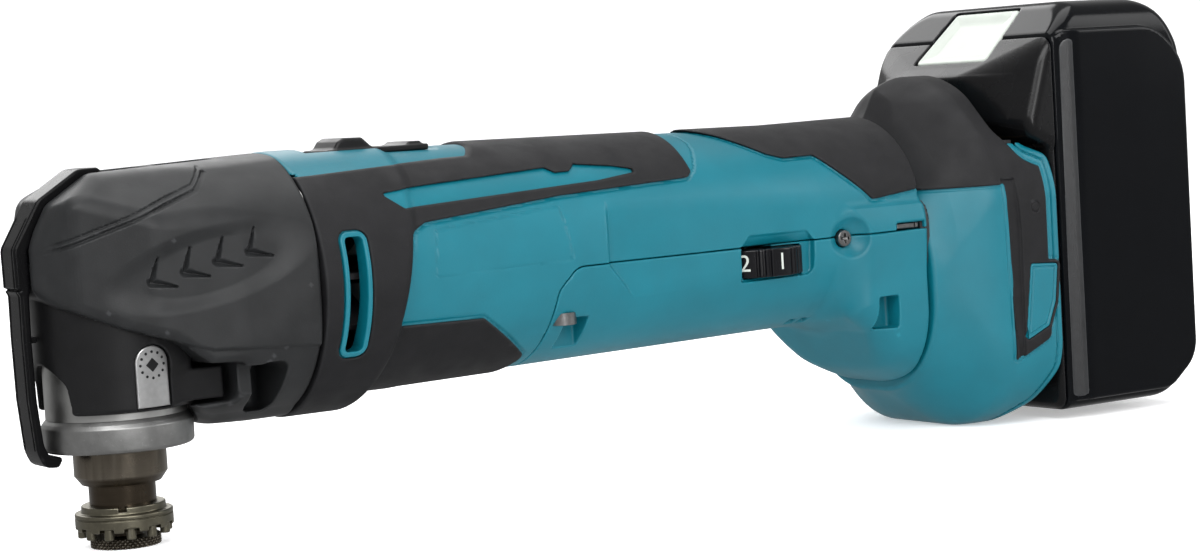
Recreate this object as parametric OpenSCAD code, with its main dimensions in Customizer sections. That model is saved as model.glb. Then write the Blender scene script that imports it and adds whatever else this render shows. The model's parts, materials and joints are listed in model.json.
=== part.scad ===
// Cordless oscillating multi-tool with a slide-on battery pack.
// Origin: the spindle axis, at the face that the accessory seats on.
// +X points to the battery, +Z up, and Y = 0 is the plane of symmetry.

/* [Motor housing] */
// Height of the motor axis above the accessory seat
axis_z = 54.5; // [54:0.5:55]
// Radius of the housing around the fan
fan_r = 30.6; // [30.2:0.1:30.8]
// Radius of the housing around the front of the motor
motor_r = 29; // [28.8:0.1:29.2]
// Radius of the housing at the rear of the grip
grip_r = 27; // [26.8:0.1:27.4]
// Wall thickness of the moulded housings
wall = 2.4; // [2.2:0.1:2.6]
// Thickness of the rubber grips
rubber_t = 0.8; // [0.6:0.1:0.9]
// Height of the joint between the upper and lower housings
seam_z = 51.5; // [51.4:0.1:51.8]

/* [Head] */
// Half width of the head
head_half = 29; // [28.5:0.5:30]
// Outer radius of the neck
neck_r = 18.2; // [18:0.1:18.4]
// Outer radius of the bearing retainer
retainer_r = 17.6; // [17.4:0.1:18]

/* [Clamp] */
// Radius of the accessory flange
flange_r = 11.35; // [11.3:0.05:11.6]
// Radius of the circle that the drive pins stand on
pin_circle_r = 9.8; // [9.7:0.05:9.85]
// Radius of one drive pin
drive_pin_r = 1.3; // [1.2:0.05:1.35]
// Number of drive pins
pin_count = 12; // [12]
// Radius of the knurled clamp head
clamp_head_r = 8.25; // [8:0.05:8.3]
// Radius of the clamp shaft
clamp_shaft_r = 4.05; // [4:0.01:4.06]
// Bore of the spindle that the clamp shaft slides in
spindle_bore_r = 4.1; // [4.1:0.01:4.15]

/* [Lever] */
// Width of the lock lever
lever_w = 9; // [8:0.5:9]
// Thickness of the lever's arm
lever_t = 1.9; // [1.8:0.1:2]
// Radius of the lever's hub
hub_r = 6; // [5.8:0.1:6]

/* [Motor] */
// Radius of the motor can
can_r = 21; // [20:0.5:21.5]
// Radius of the armature
armature_r = 14; // [13:0.5:14.5]
// Radius of the motor shaft
shaft_r = 3.5; // [3.4:0.1:3.5]
// Offset of the eccentric journal from the motor axis
throw = 0.6; // [0.4:0.1:0.7]
// Number of fan blades
blade_count = 12; // [8:1:14]

/* [Speed dial] */
// Radius of the speed dial
dial_r = 13; // [12.8:0.1:13.1]
// Number of grip ridges around the dial
ridge_count = 40; // [30:1:48]

/* [Battery] */
// Half width of the battery
pack_half = 37.5; // [37:0.5:38]
// Height of the top of the battery above the seat
pack_top = 112; // [111:0.5:112]
// Rear face of the battery
pack_rear = 313.5; // [312:0.5:315]
// Radius of one cell
cell_r = 9.2; // [9:0.1:9.2]
// Length of one cell
cell_len = 65; // [60:1:66]

/* [Hidden] */
$fn = 64;

teal = "#1f8ea3";
black = "#2b2b2d";
gap = 0.3;

head_back = 39.8;      // joint between the head and the motor housing
body_front = 40.2;
fan_end = 70;          // the housing steps in behind the fan
body_back = 222.6;     // joint between the grip and the battery housing
rear_front = 223.4;
cheek_back = 262;      // rear edge of the cheeks beside the battery
rail_face = 252;       // face that the battery slides on
step_z = 73;           // height at which the cheeks end
rail_half = 27.9;      // half width of the battery's rail block
lever_pivot = [-3, 73.5];
dial_pos = [174, -15.2];
dial_z = [43.7, 51];
screw_y = 20.5;
screw_z = 17.5;

// ---------- helpers ----------
// An outline in X and Z, extruded to both sides of Y = 0
module side(points, half) {
    rotate([90, 0, 0]) linear_extrude(height = 2 * half, center = true) polygon(points);
}
// An outline in Y and Z, extruded from x0 to x1
module across(x0, x1) {
    translate([x0, 0, 0]) rotate([90, 0, 90]) linear_extrude(height = x1 - x0) children();
}
// A solid turned around the motor axis from [radius, x] points
module turned(points) {
    translate([0, 0, axis_z]) rotate([0, 90, 0]) rotate_extrude() polygon(points);
}
// A cylinder on the motor axis, or moved from it by y and z
module rod_x(x0, x1, r, y = 0, z = 0) {
    translate([x0, y, axis_z + z]) rotate([0, 90, 0]) cylinder(h = x1 - x0, r = r);
}
module ring_x(x0, x1, r_out, r_in) {
    difference() {
        rod_x(x0, x1, r_out);
        rod_x(x0 - 1, x1 + 1, r_in);
    }
}
module rod_z(z0, z1, r) {
    translate([0, 0, z0]) cylinder(h = z1 - z0, r = r);
}
module ring_z(z0, z1, r_out, r_in) {
    difference() {
        rod_z(z0, z1, r_out);
        rod_z(z0 - 1, z1 + 1, r_in);
    }
}
// A box from its lowest to its highest corner
module block(low, high) {
    translate(low) cube(high - low);
}
module rounded(half, z0, z1, r) {
    union() {
        translate([-half + r, z0]) square([2 * (half - r), z1 - z0]);
        translate([-half, z0 + r]) square([2 * half, z1 - z0 - 2 * r]);
        for (y = [-half + r, half - r], z = [z0 + r, z1 - r]) translate([y, z]) circle(r);
    }
}
module both_sides() {
    children();
    mirror([0, 1, 0]) children();
}

// ---------- motor housing ----------
// Radius of the housing behind the fan at a given x
function tube_r(x) = motor_r + (grip_r - motor_r) * (x - fan_end) / (190 - fan_end);

module tube_outer(grow) {
    turned([[0, body_front], [fan_r + grow, body_front], [fan_r + grow, fan_end],
        [motor_r + grow, fan_end + 3], [grip_r + grow, 190], [grip_r + 0.4 + grow, body_back],
        [0, body_back]]);
}
module tube_inner() {
    turned([[0, body_front - 1], [fan_r - wall, body_front - 1], [fan_r - wall, fan_end - 2],
        [motor_r - wall, fan_end + 1], [grip_r - wall, 190], [grip_r - wall, body_back + 1],
        [0, body_back + 1]]);
}
// The part of the tube that belongs to the lower housing
module lower_zone(grow) {
    side([[94 + grow, 0], [98.5 + grow, 27], [102 + grow, 34.5], [106 + grow, 45], [109 + grow, 50],
        [112 + grow, seam_z - grow], [230, seam_z - grow], [230, -10], [94 + grow, -10]], 60);
}
module flare_outer(shrink) {
    intersection() {
        side([[190, seam_z], [190, 27 + shrink], [194, 24 + shrink], [198, 17 + shrink],
            [206, 10 + shrink], [216, 7.4 + shrink], [230, 7.4 + shrink], [230, seam_z]], 60);
        across(185, body_back) rounded(28 - shrink, 7.4 + shrink, 84, 27 - shrink);
    }
}
vent_x = [48, 54.5];
vent_z = [36, 65.5];
module vent_cut(grow) {
    block([vent_x[0] - grow, -60, vent_z[0] - grow], [vent_x[1] + grow, 60, vent_z[1] + grow]);
}
module switch_cut() {
    block([50, -7.4, fan_r + axis_z - 2], [86, 7.4, 100]);
    block([50, -3.6, 70], [76, 3.6, 100]);
}
// Places of the screws that join the housings from below
module housing_screw_spots() {
    for (x = [110, 207], y = [-21.5, 21.5]) translate([x, y, 0]) children();
}
module screw_bosses() {
    intersection() {
        union() {
            tube_outer(-1);
            flare_outer(1);
        }
        difference() {
            housing_screw_spots() translate([0, 0, 31]) cylinder(h = 31, r = 5);
            rod_x(60, 125, can_r + 0.2);
        }
    }
}
module head_screw_spots(x) {
    for (y = [-screw_y, screw_y], z = [-screw_z, screw_z]) translate([x, y, axis_z + z])
        rotate([0, 90, 0]) children();
}

module front_housing() {
    color(teal) difference() {
        union() {
            difference() {
                tube_outer(0);
                tube_inner();
                lower_zone(-0.02);
            }
            // bosses for the housing screws, and ribs that hold the motor can
            difference() {
                screw_bosses();
                lower_zone(-0.02);
            }
            difference() {
                union() {
                    ring_x(64, 67, fan_r - 1, can_r);
                    ring_x(88, 91, tube_r(91) - 1, can_r);
                }
                block([60, -4.5, 73], [95, 4.5, 90]);
            }
        }
        vent_cut(0.6);
        switch_cut();
        head_screw_spots(38) cylinder(h = 8, r = 2.2);
        housing_screw_spots() cylinder(h = 62, r = 2);
        translate([197, -40, seam_z]) rotate([-90, 0, 0]) cylinder(h = 24, r = 2.3);
        both_sides() block([212.8, -40, 52.1], [221.7, -26.5, 54.1]);
    }
}
module lower_housing() {
    color(teal) difference() {
        intersection() {
            union() {
                difference() {
                    tube_outer(0);
                    tube_inner();
                }
                difference() {
                    flare_outer(0);
                    tube_inner();
                    flare_outer(wall);
                }
                screw_bosses();
            }
            lower_zone(0.08);
        }
        // window and pocket for the speed dial
        block([164.2, -60, dial_z[0] - gap], [183.8, -16, seam_z + 1]);
        translate([dial_pos[0], dial_pos[1], dial_z[0] - gap]) cylinder(h = 12, r = dial_r + gap);
        // pockets around the screws, open to below
        housing_screw_spots() cylinder(h = 40.2, r = 3.9);
        housing_screw_spots() cylinder(h = 62, r = 2);
        translate([197, -40, seam_z]) rotate([-90, 0, 0]) cylinder(h = 24, r = 2.3);
    }
}

// ---------- battery housing ----------
module rear_outer(grow) {
    intersection() {
        side([[rear_front, 7.4 - grow], [228, 1.5 - grow], [235, -3 - grow], [239, -4.3 - grow],
            [245.5, -4.3 - grow], [250, -2.6 - grow], [253, -0.5 - grow], [258, 5 - grow],
            [cheek_back, 12 - grow],
            [cheek_back, step_z - 2.5], [rail_face + 3, step_z], [rail_face, step_z + 3],
            [rail_face, 88 + grow], [247, 92 + grow], [229.5, 92 + grow],
            [rear_front, 82 + grow]], 60);
        translate([0, 0, -20]) linear_extrude(height = 140) polygon([
            [rear_front, -28.2 - grow], [228, -30.5 - grow], [243, -36 - grow],
            [250, -37 - grow], [cheek_back, -37 - grow], [cheek_back, 37 + grow],
            [250, 37 + grow], [243, 36 + grow], [228, 30.5 + grow], [rear_front, 28.2 + grow]]);
        across(rear_front, cheek_back) rounded(37 + grow, -4.3 - grow, 92 + grow, 24);
    }
}
module rear_housing() {
    color(teal) difference() {
        rear_outer(0);
        // cavity for the wiring
        intersection() {
            rear_outer(-wall);
            block([rear_front + 3, -60, -20], [246, 60, 120]);
        }
        block([rear_front - 1, -20, axis_z - 20], [rear_front + 4, 20, axis_z + 20]);
        // bay for the battery's rail block
        block([248, -30.5, 5], [cheek_back + 1, 30.5, 100]);
        block([245, -22, 12], [249, 22, 70]);
    }
}
module battery_rails() {
    color(black) difference() {
        union() {
            block([248, -30.5, 5], [rail_face, 30.5, 74]);
            both_sides() {
                block([rail_face, rail_half + gap, 12], [257.7, 30.5, 68]);
                block([255.3, 25.4, 12], [257.7, rail_half + gap, 68]);
            }
        }
        block([247, -12, 14], [rail_face + 1, 12, 30]);
    }
}

// ---------- grips ----------
module front_grip_zone() {
    difference() {
        side([[40.6, 0], [fan_end - 1.5, 0], [fan_end - 1.5, 28], [92, 24], [94.5, 30.5], [84, 41.6],
            [60, 41.5], [65.5, 64.5], [70, 66], [108, 69.2], [146.5, 70.9], [147.5, 79],
            [144, 100], [40.6, 100]], 60);
        // bare strip under the switch
        side([[40, 79], [75, 80.2], [83, 80.4], [85.5, 82.5], [83, 100], [40, 100]], 60);
        // long insert on the side
        side([[57.7, 73], [63.4, 69.4], [119.5, 72.2], [132, 73.6], [122, 75.8], [112.4, 76.5],
            [110.5, 74.8], [106.5, 74.8], [103, 76.2], [64.5, 74]], 60);
        vent_cut(2.2);
    }
}
module front_grip() {
    color(black) intersection() {
        difference() {
            tube_outer(rubber_t);
            tube_outer(0);
        }
        front_grip_zone();
        block([30, -60, 0], [150, 60, 100]);
    }
}
module handle_grip() {
    color(black) intersection() {
        difference() {
            tube_outer(rubber_t);
            tube_outer(0);
        }
        side([[149.5, 100], [152, 82], [172, 76], [176.5, 73.8], [188, 73.8], [204.5, 61.3],
            [221.6, 62.8], [221.6, 100]], 60);
    }
}
module badge_zone() {
    side([[254.8, 40.5], [260.4, 40.5], [260.4, 30], [258, 24], [251, 20]], 60);
}
module rear_grip() {
    color(black) intersection() {
        difference() {
            rear_outer(rubber_t);
            rear_outer(0);
            badge_zone();
        }
        side([[rear_front + 0.6, 62], [246.5, 62], [249, 14.5], [260.4, 21.5], [260.4, 68.6],
            [250.2, 72.6], [249, 78], [249, 87], [246, 100], [rear_front + 0.6, 100]], 60);
    }
}
module rear_badges() {
    color(teal) intersection() {
        difference() {
            rear_outer(rubber_t - 0.1);
            rear_outer(0);
        }
        side([[255, 40.2], [260.1, 40.2], [260.1, 30.2], [257.8, 24.3], [251.4, 20.5]], 60);
    }
}
module vent_frames() {
    color(teal) intersection() {
        difference() {
            tube_outer(rubber_t);
            tube_inner();
            vent_cut(-0.8);
        }
        vent_cut(0.6);
        side([[40, 0], [60, 0], [60, 100], [40, 100]], 60);
    }
}
module seam_clips() {
    color("gray") both_sides() block([213, -27.6, 52.2], [221.5, -26.6, 54]);
}

// ---------- head ----------
module head_outer(shrink) {
    s = shrink;
    intersection() {
        side([[-19 + s, 57 + s], [-15.8 + s, 53 + s], [-8, 47.5 + s], [4, 44 + s],
            [9, 38.2 + s], [20.8 + s, 37 + s], [20.8 + s, 26 + s], [29, 20 + s],
            [head_back + s, 20 + s], [head_back + s, 85 - s], [18, 83.8 - s], [-4, 82.4 - s],
            [-13, 76 - s], [-19 + s, 66]], 60);
        translate([0, 0, -10]) linear_extrude(height = 110) polygon([
            [-19.5 + s, -7], [-16 + s, -15 + s], [-8, -20.5 + s], [4, -24 + s],
            [20, -27.5 + s], [30, -head_half + s], [head_back + 1, -head_half - 1.5 + s],
            [head_back + 1, head_half + 1.5 - s], [30, head_half - s], [20, 27.5 - s],
            [4, 24 - s], [-8, 20.5 - s], [-16 + s, 15 - s], [-19.5 + s, 7]]);
        translate([-30, 0, axis_z - 1.3]) rotate([0, 90, 0]) cylinder(h = 80, r = 32 - s);
    }
}
module lever_slot(floor_z) {
    block([-40, -lever_w / 2 - gap, floor_z], [10, lever_w / 2 + gap, 100]);
}
module head_housing() {
    color(black) difference() {
        head_outer(0);
        head_outer(wall);
        rod_z(0, 50, neck_r + 0.02);
        rod_z(44, 71.3, neck_r - 1.8);
        block([0, -15.8, 43.8], [head_back + 1, 15.8, 71.3]);
        difference() {
            lever_slot(56);
            block([-30, -20, 0], [-17.2, 20, 62]);
        }
        // recess in each side that leads to the lower screws
        both_sides() block([25, -40, 25.5], [32, -24, 36.5]);
        head_screw_spots(25) cylinder(h = 20, r = 4.1);
    }
}
module neck_cover() {
    color(black) difference() {
        union() {
            rod_z(28, 43.8, neck_r);
            block([8, -17.5, 29], [20.6, 17.5, 36.8]);
        }
        rod_z(20, 60, neck_r - 1.8);
        block([0, -13, 31], [22, 13, 50]);
        // arch at the front that shows the casting
        block([-30, -8.5, 20], [-5, 8.5, 31]);
        translate([-30, 0, 31]) rotate([0, 90, 0]) cylinder(h = 25, r = 8.5);
    }
}
module interface_badges() {
    color("silver") both_sides() intersection() {
        ring_z(20, 50, neck_r + 0.3, neck_r + 0.01);
        union() {
            translate([2, 0, 39.3]) rotate([90, 0, 0]) cylinder(h = 30, r = 4);
            block([-2, -30, 28.6], [6, 0, 39.3]);
        }
    }
}
module gear_housing() {
    color("silver") difference() {
        union() {
            rod_z(26.5, 71, neck_r - 1.85);
            block([0, -15.6, 44], [head_back, 15.6, 71]);
            head_screw_spots(33) cylinder(h = head_back - 33, r = 4);
            rod_x(36, head_back, 26);
        }
        rod_z(20, 62.5, 13.2);
        rod_z(20, 29.02, 14.02);
        block([0, -13.8, 45], [head_back + 1, 13.8, 64.5]);
        lever_slot(62.7);
        rod_z(60, 80, 6.8);
        head_screw_spots(30) cylinder(h = 20, r = 2.2);
    }
}
module bearing_retainer() {
    color("silver") rotate_extrude() polygon([[11.2, 19], [retainer_r - 0.6, 19],
        [retainer_r, 19.6], [retainer_r, 26.5], [14, 26.5], [14, 21.2], [11.2, 21.2]]);
}

// ---------- bearings ----------
// A ball bearing on the Z axis from z0 to z1, as its two rings, its balls and a cage
module bearing(z0, z1, r_out, r_in) {
    mid = (r_out + r_in) / 2;
    ball = (r_out - r_in) * 0.22;
    zm = (z0 + z1) / 2;
    race = ball * 1.01;
    rotate_extrude() difference() {
        union() {
            translate([r_in, z0]) square([mid - ball * 0.75 - r_in, z1 - z0]);
            translate([mid + ball * 0.75, z0]) square([r_out - mid - ball * 0.75, z1 - z0]);
        }
        translate([mid, zm]) circle(race);
    }
    rotate_extrude() translate([mid - ball * 0.6, zm - ball * 0.3]) square([ball * 1.2, ball * 0.6]);
    for (i = [0 : 7]) rotate([0, 0, i * 45]) translate([mid, 0, zm]) sphere(ball * 0.98);
}
module bearing_x(x0, x1, r_out, r_in) {
    translate([x0, 0, axis_z]) rotate([0, 90, 0]) bearing(0, x1 - x0, r_out, r_in);
}
module spindle_lower_bearing() {
    color("silver") bearing(21.3, 29, 14, 8);
}
module spindle_upper_bearing() {
    color("silver") bearing(59.2, 62.4, 13.2, 8);
}

// ---------- spindle and clamp ----------
module spindle() {
    color("#6f6a62") difference() {
        rotate_extrude() polygon([[spindle_bore_r, 0], [6, 0], [6, 5.7], [7.75, 5.7], [7.75, 10.6],
            [9.25, 10.6], [10.8, 12.7], [10.8, 20.6], [9.4, 20.6], [9.4, 21.3], [8, 21.3],
            [8, 62.4], [6.1, 62.4], [6.1, 30], [spindle_bore_r, 30]]);
        // bore, restated as one true cylinder
        rod_z(-1, 31, spindle_bore_r);
    }
}
module tool_holder() {
    color("#8b8a7c") union() {
        ring_z(0, 4, flange_r, 6);
        ring_z(4, 5.7, 9.75, 6);
        for (i = [0 : pin_count - 1]) rotate([0, 0, (i + 0.5) * 360 / pin_count])
            translate([pin_circle_r, 0, -1.7]) cylinder(h = 1.8, r = drive_pin_r);
    }
}
fork_gap = 8.5 + throw + 1.2;
module swing_fork() {
    color("gray") difference() {
        union() {
            ring_z(48, 59, 12, 8);
            block([7, -12.4, axis_z - 5.5], [33, 12.4, axis_z + 4.4]);
        }
        rod_z(40, 60, 8);
        block([16, -fork_gap, 40], [40, fork_gap, 70]);
    }
}
module clamp_shaft() {
    color("#77756c") difference() {
        rotate_extrude() polygon([[0, -4.3], [clamp_head_r - 0.5, -4.3], [clamp_head_r, -3.9],
            [clamp_head_r, -2.4], [clamp_head_r - 0.4, -2.1], [clamp_shaft_r, -2.1],
            [clamp_shaft_r, 58], [5.9, 58], [5.9, 60], [3.5, 60], [3.5, 66.6], [2.9, 67.2],
            [0, 67.2]]);
        // knurl grooves around the head
        for (i = [0 : 35]) rotate([0, 0, i * 10]) translate([clamp_head_r + 0.25, 0, -5])
            rotate([0, 0, 45]) translate([-0.4, -0.4, 0]) cube([0.8, 0.8, 4]);
    }
}
spring_turns = 7;
spring_steps = 16;
spring_mid_r = 5.1;
spring_wire_r = 0.7;
function spring_point(i, j) = let (
    a = i * 360 / spring_steps, b = j * 60, r = spring_mid_r + spring_wire_r * cos(b),
    z = 30.75 + 26.4 * i / (spring_turns * spring_steps) + spring_wire_r * sin(b)
) [r * cos(a), r * sin(a), z];
module clamp_spring() {
    last = spring_turns * spring_steps;
    color("gray") polyhedron(
        points = [for (i = [0 : last], j = [0 : 5]) spring_point(i, j)],
        faces = concat([[for (j = [0 : 5]) j]], [[for (j = [5 : -1 : 0]) last * 6 + j]],
            [for (i = [0 : last - 1], j = [0 : 5])
                [i * 6 + j, (i + 1) * 6 + j, (i + 1) * 6 + (j + 1) % 6, i * 6 + (j + 1) % 6]]));
}

// ---------- lock lever ----------
neck_stop_x = -18.6;     // the lever's nub ends here, just clear of the neck
module lock_lever() {
    t = lever_t;
    px = lever_pivot[0];
    pz = lever_pivot[1];
    color(black) difference() {
        union() {
            // hood over the head, arm down the front and foot at its end
            side([[-16.4, 16.4], [-20.2, 16.6], [-21.6, 20], [-22.5, 30], [-22.6, 46],
                [-22.4, 56], [-23.3, 57], [-23.5, 60], [-23.4, 66.5], [-17.2, 77.2], [-7, 83.6],
                [-2, 83.9], [3, 80], [3, 74], [-3, 79.2], [-7, 79.2], [-15.5, 74],
                [-20.4, 66], [-20.4, 57.5], [-22.4 + t, 55], [-22.6 + t, 46], [-22.5 + t, 30],
                [-21.6 + t, 21.5], [-19, 18.6], [-16.4, 18.4]], lever_w / 2);
            translate([px, 0, pz]) rotate([90, 0, 0]) cylinder(h = lever_w, r = hub_r, center = true);
            // cam lobe that pushes the clamp shaft down
            translate([px + 6.5 * cos(20), 0, pz + 6.5 * sin(20)]) rotate([90, 0, 0])
                cylinder(h = lever_w, r = 4, center = true);
            block([-21.5, -2, 45], [neck_stop_x, 2, 46.4]);
        }
        translate([px, 0, pz]) rotate([90, 0, 0]) cylinder(h = 40, r = 2.05, center = true);
    }
}
module lever_pin() {
    color("silver") translate([lever_pivot[0], 0, lever_pivot[1]]) rotate([90, 0, 0])
        cylinder(h = 25, r = 2, center = true);
}

// ---------- motor ----------
module motor_bracket() {
    color("gray") difference() {
        ring_x(head_back, 45.6, fan_r - wall, 8);
        head_screw_spots(30) cylinder(h = 20, r = 2.2);
        block([30, -4.5, 73], [60, 4.5, 90]);
    }
}
module front_motor_bearing() {
    color("silver") bearing_x(head_back, 45.6, 8, shaft_r);
}
module rear_motor_bearing() {
    color("silver") bearing_x(116.2, 121, 8, shaft_r);
}
module motor_can() {
    color("gray") difference() {
        rod_x(62, 104, can_r);
        rod_x(61, 102, can_r - 1.6);
        rod_x(100, 110, 12);
    }
}
module field_magnets() {
    color("#3a3a3c") difference() {
        ring_x(66, 98, can_r - 1.6, armature_r + 0.6);
        block([60, -60, axis_z - 5], [120, 60, axis_z + 5]);
    }
}
module motor_shaft() {
    color("silver") union() {
        rod_x(33.5, 124, shaft_r);
        rod_x(24.5, 33.5, 2.5, 0, throw);
    }
}
module eccentric_bearing() {
    color("silver") translate([0, 0, throw]) bearing_x(25.5, 32.5, 8.5, 2.5);
}
module armature() {
    slots = 8;
    color("#5b4634") difference() {
        ring_x(68, 96, armature_r, shaft_r);
        for (i = [0 : slots - 1]) translate([67, 0, axis_z]) rotate([i * 360 / slots, 0, 0])
            block([0, -1, armature_r - 3.5], [30, 1, armature_r + 1]);
    }
}
module commutator() {
    bars = 12;
    color("#a8642a") difference() {
        ring_x(104.5, 115.5, 9, shaft_r);
        for (i = [0 : bars - 1]) translate([104, 0, axis_z]) rotate([i * 360 / bars, 0, 0])
            block([0, -0.3, 8], [10, 0.3, 10]);
    }
}
module cooling_fan() {
    color("#303032") union() {
        ring_x(47, 59, 7, shaft_r);
        ring_x(47, 48.5, 25, 7);
        for (i = [0 : blade_count - 1]) translate([0, 0, axis_z]) rotate([i * 360 / blade_count, 0, 0])
            block([48.5, -0.7, 6.9], [58, 0.7, 24.5]);
    }
}
module brush_holder() {
    color("#303032") difference() {
        union() {
            ring_x(104, 116.5, 19, 10.2);
            ring_x(116, 121, 19, 8);
        }
        both_sides() block([107, -22, axis_z - 2.6], [114, -9, axis_z + 2.6]);
    }
}
module carbon_brushes() {
    color("#1d1d1f") both_sides() block([107.1, -18, axis_z - 2.5], [113.9, -9.1, axis_z + 2.5]);
}

// ---------- switch, speed control and wiring ----------
module switch_slide() {
    top = fan_r + axis_z;
    color(black) union() {
        block([56, -6.6, top - 1.6], [84, 6.6, top - 0.2]);
        side([[57, top - 1], [69.5, top - 1], [68, top + 1.2], [66, top + 1.9],
            [60.5, top + 1.9], [58.5, top + 1]], 6);
        side([[77, top - 1], [83.5, top - 1], [82.5, top + 0.6], [78.5, top + 0.6]], 6);
        block([66, -3, 80.5], [72, 3, top - 1]);
    }
}
module switch_rod() {
    color("gray") union() {
        block([66, -3, 77], [72, 3, 80.5]);
        block([72, -3, 77], [148, 3, 79]);
    }
}
module switch_unit() {
    color("#303032") union() {
        block([156, -8, 62], [178, 8, 76]);
        block([150, -4, 70], [156, 4, 75]);
    }
}
module control_board() {
    color("#2f6b3f") block([150, -16.2, 57], [210, 16.2, 58.6]);
    color("silver") translate([190, 8, 58.6]) cylinder(h = 12, r = 5);
    color("silver") block([196, -14, 58.6], [208, 2, 66]);
}
module dial_control() {
    color("#303032") union() {
        translate([dial_pos[0], dial_pos[1], 42]) cylinder(h = 8, r = 3);
        block([dial_pos[0] - 8, -18, 39.5], [dial_pos[0] + 8, -8, dial_z[0] - gap]);
    }
}
module speed_dial() {
    color("#232326") translate([dial_pos[0], dial_pos[1], 0]) difference() {
        rod_z(dial_z[0], dial_z[1], dial_r);
        rod_z(dial_z[0] - 1, dial_z[1] + 1, 3.06);
        for (i = [0 : ridge_count - 1]) rotate([0, 0, i * 360 / ridge_count - 85])
            translate([dial_r + 0.15, 0, dial_z[0] - 1]) cylinder(h = 9, r = 0.45, $fn = 4);
    }
}
module terminal_block() {
    color("#303032") block([247, -11.9, 14.1], [258, 11.9, 29.9]);
}
module terminal_blades() {
    color("#c9a24a") both_sides() block([254.4, -8.4, 29.9], [257.4, -7.6, 44]);
}
module lead_wires() {
    color("#a02020") for (y = [-6, 6]) translate([210, y, 57.8])
        rotate([0, 90, 0]) cylinder(h = 30, r = 0.8);
    color("#a02020") for (y = [-6, 6]) translate([240, y, 28]) cylinder(h = 30, r = 0.8);
    color("#a02020") for (y = [-6, 6]) translate([240, y, 28]) rotate([0, 90, 0])
        cylinder(h = 7, r = 0.8);
}

// ---------- battery ----------
pack_split = 264.4;
module pack_outline(s) {
    side([[252.3 + s, 78 + s], [252.3 + s, 92], [256, 94.5], [278.3 + s, pack_top + 2],
        [295.5, pack_top + 2], [309 - s, pack_top - 4], [pack_rear - s, 100], [pack_rear - s, 8],
        [309, 0.5 + s], [283, -5.5 + s], [262.6 + s, -5.5 + s], [262.6 + s, 78 + s]], 60);
}
module pack_outer(s) {
    intersection() {
        pack_outline(s);
        across(250, pack_rear) rounded(pack_half - s, -2.5 + s, pack_top - s, 10);
    }
}
// The release button lies in the battery's sloping front
slope_angle = 41.2;
button_mid = [265.6, 102.9];
button_long = 10.4;      // half length along the slope
button_half = 14.2;
button_t = 2.6;
module on_slope(low, high) {
    translate([button_mid[0], 0, button_mid[1]]) rotate([0, -slope_angle, 0]) block(low, high);
}
module button_opening() {
    on_slope([-button_long - 0.4, -button_half - 0.4, -6.2], [button_long + 0.4, button_half + 0.4, 6]);
}
module battery_case() {
    color(black) difference() {
        intersection() {
            pack_outer(0);
            block([pack_split, -60, -10], [330, 60, 130]);
        }
        intersection() {
            pack_outer(2);
            block([pack_split - 1, -60, -10], [330, 60, 130]);
        }
        button_opening();
    }
}
module battery_cover() {
    color(black) difference() {
        union() {
            intersection() {
                pack_outer(0);
                block([240, -60, -10], [pack_split - 0.2, 60, 130]);
            }
            block([252.3, -rail_half, 8], [pack_split - 0.2, rail_half, 80]);
        }
        // grooves for the rails and pocket for the terminals
        both_sides() block([255, 25, 7], [258, 30, 70]);
        block([252, -14, 7], [261, 14, 52]);
        // room for the button, its stem and the latch tongue
        button_opening();
        side([[254.6, 77.5], [266, 77.5], [266, 99], [257.6, 94.2], [255.4, 91.8], [254.6, 91]],
            button_half - 0.8);
        block([250, -5.4, 78.6], [255, 5.4, 85.4]);
    }
}
module battery_button() {
    color("#e8eae6") union() {
        on_slope([-button_long, -button_half, -button_t], [button_long, button_half, -0.2]);
        side([[256.2, 80.5], [262, 80.5], [262, 97.8], [258.6, 94.6], [256.2, 91.5]], 8);
        block([249.8, -5, 82], [257, 5, 85]);
    }
}
module battery_cells() {
    color("#4a7fb0") for (x = [277.5, 297.5], i = [0 : 4])
        translate([x, -cell_len / 2, 15.5 + i * 19.4]) rotate([-90, 0, 0])
            cylinder(h = cell_len, r = cell_r);
}
module battery_contacts() {
    color("#c9a24a") both_sides() {
        block([253.6, -7.3, 35], [260.8, -6.8, 50]);
        block([253.6, -9.2, 35], [260.8, -8.7, 50]);
        block([258.2, -8.7, 35], [260.8, -7.3, 50]);
    }
}

// ---------- fasteners ----------
module head_screws() {
    color("silver") head_screw_spots(30) difference() {
        union() {
            cylinder(h = 3, r = 3.6);
            cylinder(h = 16, r = 2);
        }
        translate([0, 0, -1]) cylinder(h = 3, r = 1.6, $fn = 6);
    }
}
module housing_screws() {
    color("silver") housing_screw_spots() difference() {
        union() {
            translate([0, 0, 37.2]) cylinder(h = 3, r = 3.6);
            translate([0, 0, 37.2]) cylinder(h = 22, r = 1.9);
        }
        translate([0, 0, 36]) cylinder(h = 3, r = 1.6, $fn = 6);
    }
}
module side_screw() {
    color("silver") translate([197, -26.6, seam_z]) rotate([-90, 0, 0]) difference() {
        cylinder(h = 10, r = 2.2);
        translate([0, 0, -1]) cylinder(h = 2.4, r = 1.1, $fn = 6);
    }
}

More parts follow.
